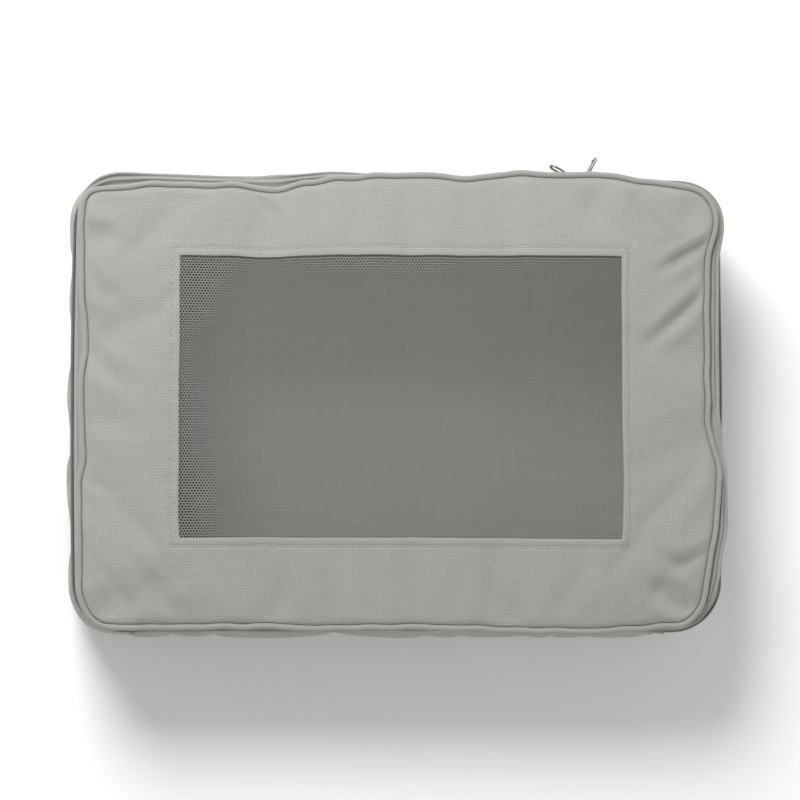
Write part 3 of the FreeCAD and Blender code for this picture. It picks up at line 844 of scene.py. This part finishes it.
def hung_cloth(name, s, knots, rows, held_rows, seed, folds, slack):
    """A wall of cloth between its seams, with soft upright folds, pushed out from inside."""
    points = wall_points(s, knots, rows)
    uv = wall_uv(s, points)
    held = hold_edges(points, *held_rows)
    points = gather(points, s, held, seed, folds)
    points = settle(points, held, pressure=1.5, slack=slack, cap=4 * MM)
    return subdivide(thicken(grid_object(name, points, uv), CLOTH)), points


def build_gusset():
    """The wall below the zip, from one end of the zip round the front to the other."""
    s = np.linspace(*OPEN_RUN, 232)
    return s, *hung_cloth("side_gusset_cloth", s, lower_wall_knots(s), rows=45, held_rows=(5, 17),
                          seed=12, folds=0.7 * MM, slack=0.012)


def build_rear_cloth():
    """One cloth from the base seam up to the lid seam; the lid folds on it."""
    reach = ZIP_END + REAR_SEAM
    s = np.linspace(-reach, reach, 74)
    fold = [(0.1 * MM, ZIP_Z), (0.25 * MM, 68.5 * MM)]
    knots = upper_wall_knots(s, 1.0 * MM) + fold + lower_wall_knots(s)
    edge = smooth_step((np.abs(s) - ZIP_END + 3 * MM) / (3 * MM)) * 0.9 * MM
    knots = [(out + edge, z) for out, z in knots]
    return s, *hung_cloth("rear_cloth", s, knots, rows=93, held_rows=(37, 17),
                          seed=21, folds=0.6 * MM, slack=0.01)


TAPE_GAP = 0.55 * MM


def build_upper_tape():
    """The tape above the zip, from the lid seam down to the coil."""
    s = np.linspace(*OPEN_RUN, 420)
    zip_out, zip_z = zip_line(s)
    ends = [(zip_out, 75.4 * MM), (zip_out, zip_z + TAPE_GAP)]
    points = wall_points(s, upper_wall_knots(s, 0) + ends, 45)
    return thicken(grid_object("upper_tape", points, wall_uv(s, points)), TAPE)


def build_lower_tape():
    """The tape below the zip, which goes down behind the gusset's top edge."""
    s = np.linspace(*OPEN_RUN, 420)
    zip_out, zip_z = zip_line(s)
    knots = [(zip_out, zip_z - TAPE_GAP), (zip_out, 68 * MM), (zip_out, 63 * MM), (zip_out, 58 * MM)]
    points = wall_points(s, knots, 12)
    return thicken(grid_object("lower_tape", points, wall_uv(s, points)), TAPE)


COIL_PITCH = 1.4 * MM
COIL_THREAD = 0.34 * MM
COIL_WIDE = 1.35 * MM
COIL_DEEP = 0.74 * MM
COIL_OUT = 1.06 * MM
COIL_RISE = 1.16 * MM


def build_coil(name, rise, phase):
    """Half of the zip's chain: a nylon coil whose turns mesh with the other half's."""
    first, last = OPEN_RUN
    turns = int((last - first - 1.5 * MM) / COIL_PITCH)
    theta = np.arange(turns * 12 + 1) * (2 * math.pi / 12)
    s = first + 0.75 * MM + COIL_PITCH * (theta / (2 * math.pi) + phase)
    zip_out, zip_z = zip_line(s)
    out = zip_out + COIL_OUT + COIL_DEEP * np.sin(theta)
    centre = wall(s, out, zip_z + rise + COIL_WIDE * np.cos(theta))
    upright = np.cos(theta)[:, None] * UP * COIL_DEEP
    side = unit(upright + np.sin(theta)[:, None] * outward(s) * COIL_WIDE)
    ahead = unit(np.gradient(centre, axis=0))
    section = ellipse(2 * COIL_THREAD, 2 * COIL_THREAD, 5)
    return tube(name, centre, side, unit(np.cross(ahead, side)), section, closed=False)


ROW_MARGIN = 3 * MM
COLUMN_MARGIN = 2 * MM
AHEAD = 0.5 * MM


def along_line(line, places):
    """Points at distances along a line of points."""
    run = distances(line)
    return np.stack([np.interp(places, run, line[:, k]) for k in range(3)], axis=-1)


def row_of_stitches(name, cloth, s, points, row):
    """Stitches along one row of a wall's grid."""
    line = points[:, row]
    run = distances(line)
    length = run[-1] - 2 * ROW_MARGIN
    count = int(length / STITCH_PITCH)
    places = ROW_MARGIN + (np.arange(count) + 0.5) * length / count
    normals = outward(np.interp(places, run, s))
    return sewn(name, cloth, along_line(line, places), along_line(line, places + AHEAD), normals)


def column_of_stitches(name, cloth, s, points, columns, rows):
    """Stitches up and down some columns of a wall's grid, between two rows."""
    centres, ahead, normals = [], [], []
    for column in columns:
        line = points[column, rows[0]:rows[1]]
        places = np.arange(COLUMN_MARGIN, distances(line)[-1] - COLUMN_MARGIN, STITCH_PITCH)
        centres.append(along_line(line, places))
        ahead.append(along_line(line, places + AHEAD))
        normals.append(np.broadcast_to(outward(s[column]), (len(places), 3)))
    return sewn(name, cloth, np.concatenate(centres), np.concatenate(ahead), np.concatenate(normals))


def build_bartacks():
    """Dense short stitches over each end of the zip."""
    count = 10
    x = np.repeat([-1, 1], count) * (ZIP_END + 1.4 * MM)
    z = np.tile(GUSSET_TOP - 0.8 * MM - 0.45 * MM * np.arange(count), 2)
    centres = np.stack([x, np.full(2 * count, HALF_Y + 1.3 * MM), z], axis=-1)
    along = np.tile([1.0, 0, 0], (2 * count, 1))
    normals = np.tile([0, 1.0, 0], (2 * count, 1))
    return stitches("zip_end_tacks", centres, along, normals, 2.2 * MM, 0.27 * MM)


def build_upright_bindings():
    """Bound seams inside, where the gusset meets the rear cloth."""
    pieces = []
    for sign in (-1, 1):
        z = np.linspace(7 * MM, 60 * MM, 28)
        t = (z - z[0]) / (z[-1] - z[0])
        swell = bulge(np.array([sign * ZIP_END]))[0]
        out = -2.0 * MM + swell * np.sin(math.pi * t) ** 0.8
        s = np.full_like(z, sign * ZIP_END)
        centre = wall(s, out, z)
        side = np.tile([1.0, 0, 0], (len(z), 1))
        back = np.tile([0, 1.0, 0], (len(z), 1))
        section = ellipse(9 * MM, 1.4 * MM, 20, 3)
        pieces.append(tube("upright_binding", centre, side, back, section, closed=False))
    return joined("upright_bindings", pieces)


def joined(name, pieces):
    """One object from several meshes."""
    work = bmesh.new()
    for piece in pieces:
        work.from_mesh(piece.data)
    mesh = bpy.data.meshes.new(name)
    work.to_mesh(mesh)
    work.free()
    for piece in pieces:
        old = piece.data
        bpy.data.objects.remove(piece)
        bpy.data.meshes.remove(old)
    made = bpy.data.objects.new(name, mesh)
    bpy.context.scene.collection.objects.link(made)
    return made


def build_base_cloth():
    """The whole base panel, its outer face down."""
    counts = ring_counts()
    q = spread_q(counts)
    share = np.linspace(0, 1, 16)
    x, y = ring_flat(q, share)
    ring = grid_object("ring", base_point(x, y), ring_uv(q, share), (True, False), flip=True)
    xs = np.linspace(-WINDOW_X, WINDOW_X, counts[1] + 1)
    ys = np.linspace(WINDOW_LOW, WINDOW_HIGH, counts[0] + 1)
    x, y = np.meshgrid(xs, ys, indexing="ij")
    patch = grid_object("patch", base_point(x, y), np.stack([x, y], axis=-1), flip=True)
    return thicken(rework(joined("base_cloth", [ring, patch]), weld), CLOTH)


def base_point(x, y):
    """The base's underside: nearly flat, and rolled up at its edge."""
    inside = np.maximum(border_distance(x, y), 0)
    s = nearest_s(x, y)
    out, _ = base_seam(s)
    _, _, nx, ny = plan(s)
    pull = (out + INSET) * np.exp(-inside / (30 * MM))
    soft = 0.04 * MM + 0.12 * MM * (1 + np.sin(x * 47 + 1.3 * np.sin(y * 31)) * np.sin(y * 39 + x * 11))
    roll = 1.1 * MM * (1 - np.minimum(inside / ROLL, 1)) ** 2
    puckers = 0.14 * MM * (1 + wave(s, (61, 83, 97), 14)) * np.exp(-inside / (8 * MM))
    return np.stack([x + pull * nx, y + pull * ny, soft + roll + puckers], axis=-1)


# ---- Sliders and pulls ----
# A slider is drawn about the zip's middle: x towards its head, d outwards from the tape, z up.

SLIDER_HALF = 4.7
PLATE_OUT = (2.3, 3.1)
PLATE_IN = (-1.95, -0.95)


def plate_outline():
    """A slider plate's outline in millimetres: rounded, with shoulders and a dip at its head."""
    u = -np.cos(np.linspace(0, math.pi, 28))
    half = 3.65 + 0.45 * smooth_step((u + 0.1) / 0.9) - 0.18 * hump(u + 0.15, 0.35)
    half = half * (1 - np.abs(u) ** 6) ** (1 / 3.2)
    dip = 0.55 * hump(half, 1.9) * (u > 0)
    x = SLIDER_HALF * u - dip
    upper = np.stack([x, half], axis=-1)
    lower = np.stack([x, -half], axis=-1)[-2:0:-1]
    return np.concatenate([upper, lower])[::-1]


def prism(outline, low, high):
    """Points (x, d, z) and faces of an outline in x, z drawn from d = low to high."""
    n = len(outline)
    points = [(x, d, z) for d in (low, high) for x, z in outline]
    faces = [list(range(n))[::-1], list(range(n, 2 * n))]
    faces += [[k, (k + 1) % n, n + (k + 1) % n, n + k] for k in range(n)]
    return points, faces


def bar_outline(x0, x1, z0, z1):
    return np.array([(x0, z0), (x1, z0), (x1, z1), (x0, z1)])


def slider_shape():
    """Two plates, the post between them at the head, and lips on both edges of the outer plate."""
    parts = [prism(plate_outline(), *PLATE_OUT), prism(plate_outline(), *PLATE_IN)]
    parts.append(prism(bar_outline(1.6, 4.1, -0.4, 0.4), PLATE_IN[1] - 0.2, PLATE_OUT[0] + 0.2))
    for sign in (-1, 1):
        edges = sorted((sign * 3.38, sign * 3.98))
        parts.append(prism(bar_outline(-3.6, 3.7, *edges), 0.4, PLATE_OUT[0] + 0.4))
    return parts


def bridge_path():
    """The arch's centre line in x, d."""
    half = [(2.85, 3.2), (2.85, 4.3), (2.55, 5.2), (1.7, 5.58)]
    return curve_through([(-x, d) for x, d in half] + [(0, 5.66)] + half[::-1], 41)


def slider_world(points, middle, head):
    """Slider places x, d, z in the frame: its middle along the zip, and which way its head faces."""
    x, d, z = np.asarray(points, float).T * MM
    return np.stack([middle + head * x, -(HALF_Y + TAPE_OUT) - d, ZIP_Z + z], axis=-1)


def build_slider(joint):
    """One slider: its body with the bridge on top."""
    word = joint["child"]
    middle = sum(corner[0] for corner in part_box(word + "_body")) / 2
    head = -joint["axis"][0]
    pieces = []
    for k, (points, faces) in enumerate(slider_shape()):
        piece = mesh_object(f"{word}_part{k}", slider_world(points, middle, head), faces)
        pieces.append(rework(piece, face_outwards))
    body = joined(word + "_casting", pieces)
    edge = body.modifiers.new("Edges", "BEVEL")
    edge.width = 0.22 * MM
    edge.segments = 3
    edge.limit_method = "ANGLE"
    edge.angle_limit = math.radians(50)
    path = bridge_path()
    centre = slider_world(np.pad(path, ((0, 0), (0, 1))), middle, head)
    ahead = unit(np.gradient(centre, axis=0))
    across = np.broadcast_to(UP, centre.shape)
    wide = 2.2 * MM + 0.9 * MM * np.abs(np.linspace(-1, 1, len(centre))) ** 6
    section = ellipse(1, 1, 16, 4)[None] * np.stack([wide, np.full(len(centre), 0.95 * MM)], -1)[:, None]
    bridge = tube(word + "_arch", centre, across, np.cross(ahead, across), section, closed=False)
    return body, bridge


def pull_path():
    """The ring's centre line in x (away from the bar) and z, in millimetres."""
    half = [(0, 0), (0, 1.2), (0.15, 2.0), (0.9, 2.42), (3.2, 2.55), (6.2, 2.85), (8.6, 2.95),
            (10.0, 2.35), (10.65, 1.2), (10.8, 0)]
    knots = np.array(half + [(x, -z) for x, z in half[-2:0:-1]])
    closed = np.concatenate([knots[-2:], knots, knots[:3]])
    dense = curve_through(closed, (len(closed) - 1) * 16 + 1)[32:-32]
    return dense[:-1]


PULL_ROLL = math.radians(-9)
PULL_WIRE = 1.05 * MM


def build_pull(swing):
    """A ring pull: round wire at the bar, flatter towards its far end, hanging a little askew."""
    word = swing["child"].replace("_ring", "")
    pivot = np.array(swing["pos_m"])
    low, high = (np.array(c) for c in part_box(word))
    lean = unit(((low + high) / 2 - pivot) * np.array([1, 1, 0]))
    path = pull_path() * MM
    flat = np.cross(UP, lean)
    breadth = math.cos(PULL_ROLL) * UP + math.sin(PULL_ROLL) * flat
    centre = pivot + path[:, :1] * lean + path[:, 1:] * breadth
    ahead = unit(np.roll(centre, -1, axis=0) - np.roll(centre, 1, axis=0))
    thick = np.broadcast_to(np.cross(breadth, lean), centre.shape)
    side = np.cross(ahead, thick)
    flare = smooth_step(path[:, 0] / (8 * MM))
    sizes = np.stack([1 + 0.5 * flare, 1 + 0.15 * flare], axis=-1)[:, None]
    section = ellipse(PULL_WIRE, PULL_WIRE, 14, 2.6)[None] * sizes
    return tube(word + "_loop", centre, side, thick, section)


# ---- Materials ----


def new_material(name):
    """A material, its node tree and its shader."""
    made = bpy.data.materials.new(name)
    made.use_nodes = True
    return made, made.node_tree, made.node_tree.nodes["Principled BSDF"]


def set_inputs(node, values):
    """Gives some of a node's inputs their values, by the sockets' names."""
    for socket, value in values.items():
        node.inputs[socket].default_value = value


def add_node(tree, kind, values, links):
    """A new shader node, with values and links for some of its inputs."""
    node = tree.nodes.new("ShaderNode" + kind)
    set_inputs(node, values)
    for socket, source in links.items():
        tree.links.new(source, node.inputs[socket])
    return node


def math_node(tree, operation, *operands):
    node = tree.nodes.new("ShaderNodeMath")
    node.operation = operation
    for slot, value in enumerate(operands):
        if isinstance(value, (int, float)):
            node.inputs[slot].default_value = value
        else:
            tree.links.new(value, node.inputs[slot])
    return node.outputs[0]


def cloth_coordinates(tree, turn=0.0, scale=(1.0, 1.0)):
    """The cloth's own coordinates in metres, turned and scaled."""
    source = tree.nodes.new("ShaderNodeUVMap")
    source.uv_map = "cloth"
    values = {"Rotation": (0, 0, turn), "Scale": (*scale, 1)}
    return add_node(tree, "Mapping", values, {"Vector": source.outputs["UV"]}).outputs["Vector"]


def noise(tree, vector, scale, detail=2.0):
    values = {"Scale": scale, "Detail": detail}
    return add_node(tree, "TexNoise", values, {"Vector": vector}).outputs["Fac"]


def speckle(tree, scale, detail=2.0):
    """Noise through the whole piece, scale spots to the metre."""
    return noise(tree, tree.nodes.new("ShaderNodeTexCoord").outputs["Object"], scale, detail)


def split_axes(tree, vector):
    return add_node(tree, "SeparateXYZ", {}, {0: vector}).outputs


def ripple(tree, value, pitch):
    """A sine of a distance, with half a turn to each pitch."""
    return math_node(tree, "SINE", math_node(tree, "MULTIPLY", value, math.pi / pitch))


def plain_weave(tree, vector, pitch):
    """Height from 0 to 1 of threads that pass over and under each other."""
    axes = split_axes(tree, vector)
    u = ripple(tree, axes["X"], pitch)
    v = ripple(tree, axes["Y"], pitch)
    over = math_node(tree, "GREATER_THAN", math_node(tree, "MULTIPLY", u, v), 0.0)
    warp = math_node(tree, "MULTIPLY", math_node(tree, "ABSOLUTE", u), over)
    under = math_node(tree, "SUBTRACT", 1.0, over)
    weft = math_node(tree, "MULTIPLY", math_node(tree, "ABSOLUTE", v), under)
    return math_node(tree, "ADD", warp, weft)


def twill(tree, vector, pitch):
    """Height from 0 to 1 of a herringbone tape: slanting ribs that change sides in bands."""
    axes = split_axes(tree, vector)
    band = math_node(tree, "PINGPONG", axes["Y"], 2.4 * MM)
    slant = math_node(tree, "ADD", axes["X"], math_node(tree, "MULTIPLY", band, 0.9))
    return math_node(tree, "ABSOLUTE", ripple(tree, slant, pitch))


def shade(tree, shader, colour, factors):
    """Multiplies a colour by factors, each (value, low, high), and gives it to the shader."""
    total = 1.0
    for value, low, high in factors:
        part = math_node(tree, "MULTIPLY_ADD", value, high - low, low)
        total = math_node(tree, "MULTIPLY", total, part)
    scaled = tree.nodes.new("ShaderNodeVectorMath")
    scaled.operation = "SCALE"
    scaled.inputs[0].default_value = colour
    tree.links.new(total, scaled.inputs["Scale"])
    tree.links.new(scaled.outputs[0], shader.inputs["Base Color"])


def bump(tree, shader, height, strength, distance, before=None):
    links = {"Height": height}
    if before is not None:
        links["Normal"] = before
    node = add_node(tree, "Bump", {"Strength": strength, "Distance": distance}, links)
    tree.links.new(node.outputs["Normal"], shader.inputs["Normal"])
    return node.outputs["Normal"]


def woven_cloth(name, colour, pitch=0.78 * MM, turn=0.0):
    """Plain woven polyester: fine over-and-under threads of uneven tone, darker in the weave's low points as
    painted shade, faintly blotched.
    """
    made, tree, shader = new_material(name)
    threads = plain_weave(tree, cloth_coordinates(tree, turn), pitch)
    slub_u = noise(tree, cloth_coordinates(tree, turn, (60, 1500)), 1.0, 1)
    slub_v = noise(tree, cloth_coordinates(tree, turn, (1500, 60)), 1.0, 1)
    blotch = speckle(tree, 22, 3)
    grain = speckle(tree, 900)
    # The weave's height sets both its pattern and painted shade: the low points between the threads are
    # darkened.
    factors = [(threads, 0.72, 1.13), (slub_u, 0.955, 1.045), (slub_v, 0.955, 1.045), (blotch, 0.96, 1.04),
               (grain, 0.95, 1.05)]
    shade(tree, shader, colour, factors)
    coarse = bump(tree, shader, blotch, 0.25, 0.6 * MM)
    bump(tree, shader, threads, 0.8, 0.22 * MM, coarse)
    sheen = {"Sheen Weight": 0.2, "Sheen Roughness": 0.45}
    set_inputs(shader, {"Roughness": 0.78, "Specular IOR Level": 0.3, **sheen})
    return made


def tape_cloth(name, colour, pitch):
    """Narrow woven tape: herringbone ribs, darker in their grooves as painted shade, with a soft shine."""
    made, tree, shader = new_material(name)
    ribs = twill(tree, cloth_coordinates(tree), pitch)
    fleck = noise(tree, cloth_coordinates(tree, 0, (900, 300)), 1.0)
    # The ribs' height darkens their grooves: painted shade over the herringbone pattern.
    shade(tree, shader, colour, [(ribs, 0.78, 1.06), (fleck, 0.9, 1.1), (speckle(tree, 30), 0.95, 1.05)])
    bump(tree, shader, ribs, 0.6, 0.2 * MM)
    set_inputs(shader, {"Roughness": 0.66, "Sheen Weight": 0.15})
    return made


def drawn_fibre(name, colour, fine, shades, blotches, relief, surface):
    """Thread or cord: a fine grain that shades it and stands up a little, and faint blotches."""
    made, tree, shader = new_material(name)
    grain = speckle(tree, fine)
    shade(tree, shader, colour, [(grain, *shades), (speckle(tree, blotches), 0.94, 1.06)])
    bump(tree, shader, grain, *relief)
    set_inputs(shader, surface)
    return made


def sewing_thread(name, colour):
    """Twisted sewing thread, a little hairy."""
    surface = {"Roughness": 0.6, "Sheen Weight": 0.2}
    return drawn_fibre(name, colour, 2600, (0.8, 1.15), 45, (0.5, 0.1 * MM), surface)


def nylon(name, colour):
    """Smooth drawn nylon with a satin shine."""
    return drawn_fibre(name, colour, 700, (0.9, 1.08), 40, (0.15, 0.05 * MM), {"Roughness": 0.42})


def painted_metal(name, colour):
    """Satin paint on cast metal: fine orange peel, rubbed paler on the edges."""
    made, tree, shader = new_material(name)
    peel = speckle(tree, 1400)
    wear = speckle(tree, 260, 3)
    pointed = tree.nodes.new("ShaderNodeNewGeometry").outputs["Pointiness"]
    edge = add_node(tree, "MapRange", {"From Min": 0.5, "From Max": 0.62}, {"Value": pointed})
    rubbed = math_node(tree, "MULTIPLY", edge.outputs["Result"], wear)
    shade(tree, shader, colour, [(peel, 0.94, 1.06), (wear, 0.9, 1.1), (rubbed, 1.0, 1.5)])
    bump(tree, shader, peel, 0.12, 0.04 * MM)
    rough = math_node(tree, "MULTIPLY_ADD", wear, 0.18, 0.26)
    tree.links.new(rough, shader.inputs["Roughness"])
    shader.inputs["Metallic"].default_value = 0.75
    return made


SHELL = woven_cloth("shell_polyester", (0.338, 0.332, 0.315))
PIPED = woven_cloth("piping_polyester", (0.325, 0.319, 0.303), turn=math.radians(45))
NET = woven_cloth("net_polyester", (0.33, 0.318, 0.30), pitch=0.3 * MM)
ZIP_TAPE = tape_cloth("zip_tape_polyester", (0.31, 0.304, 0.287), 0.55 * MM)
BINDING = tape_cloth("binding_polyester", (0.30, 0.294, 0.278), 0.8 * MM)
THREAD = sewing_thread("sewing_thread", (0.37, 0.362, 0.343))
COIL = nylon("coil_nylon", (0.24, 0.236, 0.222))
CORE = nylon("cord_polyethylene", (0.7, 0.7, 0.68))
METAL = painted_metal("slider_paint", (0.30, 0.315, 0.285))


# ---- Assembly ----


def finished(obj, body, material, *nodes):
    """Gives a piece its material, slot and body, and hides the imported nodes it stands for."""
    obj.data.materials.clear()
    obj.data.materials.append(material)
    if body:
        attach(obj, body)
    if nodes:
        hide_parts(*nodes)
    return obj


def build_seam(body, seam, below, drop, seed):
    """A seam's piping with its cord, and the tape round its raw edges."""
    cover = finished(seam_piping(body + "_piping", seam, below), body, PIPED, body + "_piping_cover")
    finished(seam_cord(body + "_cord", seam, below), body, CORE, body + "_piping_cord")
    binding = seam_binding(body + "_binding", seam, drop, seed)
    finished(binding, body, BINDING, body + "_seam_binding")
    return cover


def build_lid():
    cloth = finished(build_lid_cloth(), "lid", SHELL, "lid_panel")
    net = finished(build_net(), "lid", NET, "window_mesh")
    hem = finished(build_hem(), "lid", SHELL, "window_hem")
    row = finished(build_window_stitches(cloth), "lid", THREAD, "window_stitching")
    cover = build_seam("lid", lid_seam, below=PIPING_DROP, drop=-1.6 * MM, seed=15)
    tape = finished(build_upper_tape(), "lid", ZIP_TAPE, "upper_zip_tape")
    finished(build_coil("upper_coil", COIL_RISE, 0.0), "lid", COIL, "upper_zip_coil")


def build_base():
    cloth = finished(build_base_cloth(), "base", SHELL, "base_panel")
    cover = build_seam("base", base_seam, below=0, drop=0.2 * MM, seed=17)
    tape = finished(build_lower_tape(), "base", ZIP_TAPE, "lower_zip_tape")
    finished(build_coil("lower_coil", -COIL_RISE, 0.5), "base", COIL, "lower_zip_coil")
    s, gusset, points = build_gusset()
    finished(gusset, "base", SHELL, "side_gusset")
    row = row_of_stitches("gusset_stitches", gusset, s, points, 4)
    finished(row, "base", THREAD, "gusset_stitching")
    finished(build_bartacks(), "base", THREAD, "zip_end_bartacks")
    finished(build_upright_bindings(), "base", BINDING, "rear_seam_bindings")


def build_rear():
    """The rear cloth across the hinge line between the base and the lid, left out of both bodies, with
    stitches up its ends.
    """
    s, rear, points = build_rear_cloth()
    finished(rear, None, SHELL, "rear_panel", "rear_flap")
    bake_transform(rear)
    below_hinge = np.argmax(points[len(points) // 2, :, 2] < ZIP_Z - 8 * MM)
    rows = (int(below_hinge), points.shape[1] - 14)
    seams = column_of_stitches("rear_seam_stitches", rear, s, points, (1, -2), rows)
    finished(seams, "base", THREAD)


def build_sliders():
    joints = {joint["name"]: joint for joint in frame["record"]["behaviour"]["joints"]}
    for word in ("left", "right"):
        travel = joints[word + "_slider_travel"]
        swing = joints[word + "_pull_swing"]
        body, bridge = build_slider(travel)
        slider = travel["child"]
        finished(body, slider, METAL, slider + "_body")
        finished(bridge, slider, METAL, slider + "_bridge")
        finished(build_pull(swing), swing["child"], METAL, word + "_pull")


# ---- Floor, light and camera ----


def area_light(name, place, target, size, power):
    light = bpy.data.lights.new(name, "AREA")
    light.shape = "DISK"
    light.size = size
    light.energy = power
    made = bpy.data.objects.new(name, light)
    made.location = place
    made.rotation_euler = (Vector(target) - Vector(place)).to_track_quat("-Z", "Y").to_euler()
    bpy.context.scene.collection.objects.link(made)


def build_stage():
    edge = 12
    corners = [(-edge, -edge, 0), (edge, -edge, 0), (edge, edge, 0), (-edge, edge, 0)]
    floor = mesh_object("floor", corners, [(0, 1, 2, 3)])
    made, tree, shader = new_material("floor_paper")
    shade(tree, shader, (0.9, 0.9, 0.9), [(speckle(tree, 3), 0.99, 1.01)])
    shader.inputs["Roughness"].default_value = 0.9
    floor.data.materials.append(made)
    bpy.context.scene.view_settings.view_transform = "Standard"
    build_world()
    area_light("key", (0.5, -1.05, 1.3), (0, 0, 0.05), 0.8, 31)
    area_light("fill", (-0.9, 1.3, 1.5), (0, 0, 0.05), 1.6, 8)


def build_world():
    """Soft light all round, brighter towards the horizon."""
    world = bpy.data.worlds.new("studio")
    bpy.context.scene.world = world
    world.use_nodes = True
    tree = world.node_tree
    axes = split_axes(tree, tree.nodes.new("ShaderNodeTexCoord").outputs["Generated"])
    height = math_node(tree, "ABSOLUTE", axes["Z"])
    values = {"From Max": 0.45, "To Min": 1.0, "To Max": 0.42}
    strength = add_node(tree, "MapRange", values, {"Value": height})
    strength.interpolation_type = "SMOOTHSTEP"
    background = tree.nodes["Background"]
    background.inputs["Color"].default_value = (1, 1, 1, 1)
    tree.links.new(strength.outputs["Result"], background.inputs["Strength"])


def build_camera():
    """Looks down from a little to one side, with the zip side uppermost."""
    camera = bpy.data.cameras.new("camera")
    made = bpy.data.objects.new("camera", camera)
    place = Vector((0.194, 0.115, TOP + 2.0))
    target = Vector((0, -0.002, TOP - 0.006))
    back = (place - target).normalized()
    right = Vector((0, -1, 0)).cross(back).normalized()
    up = back.cross(right)
    made.matrix_world = Matrix.Translation(place) @ Matrix((right, up, back)).transposed().to_4x4()
    camera.lens = 168
    camera.sensor_width = 36
    camera.clip_end = 20
    bpy.context.scene.collection.objects.link(made)
    bpy.context.scene.camera = made


build_lid()
build_base()
build_rear()
build_sliders()
build_stage()
build_camera()
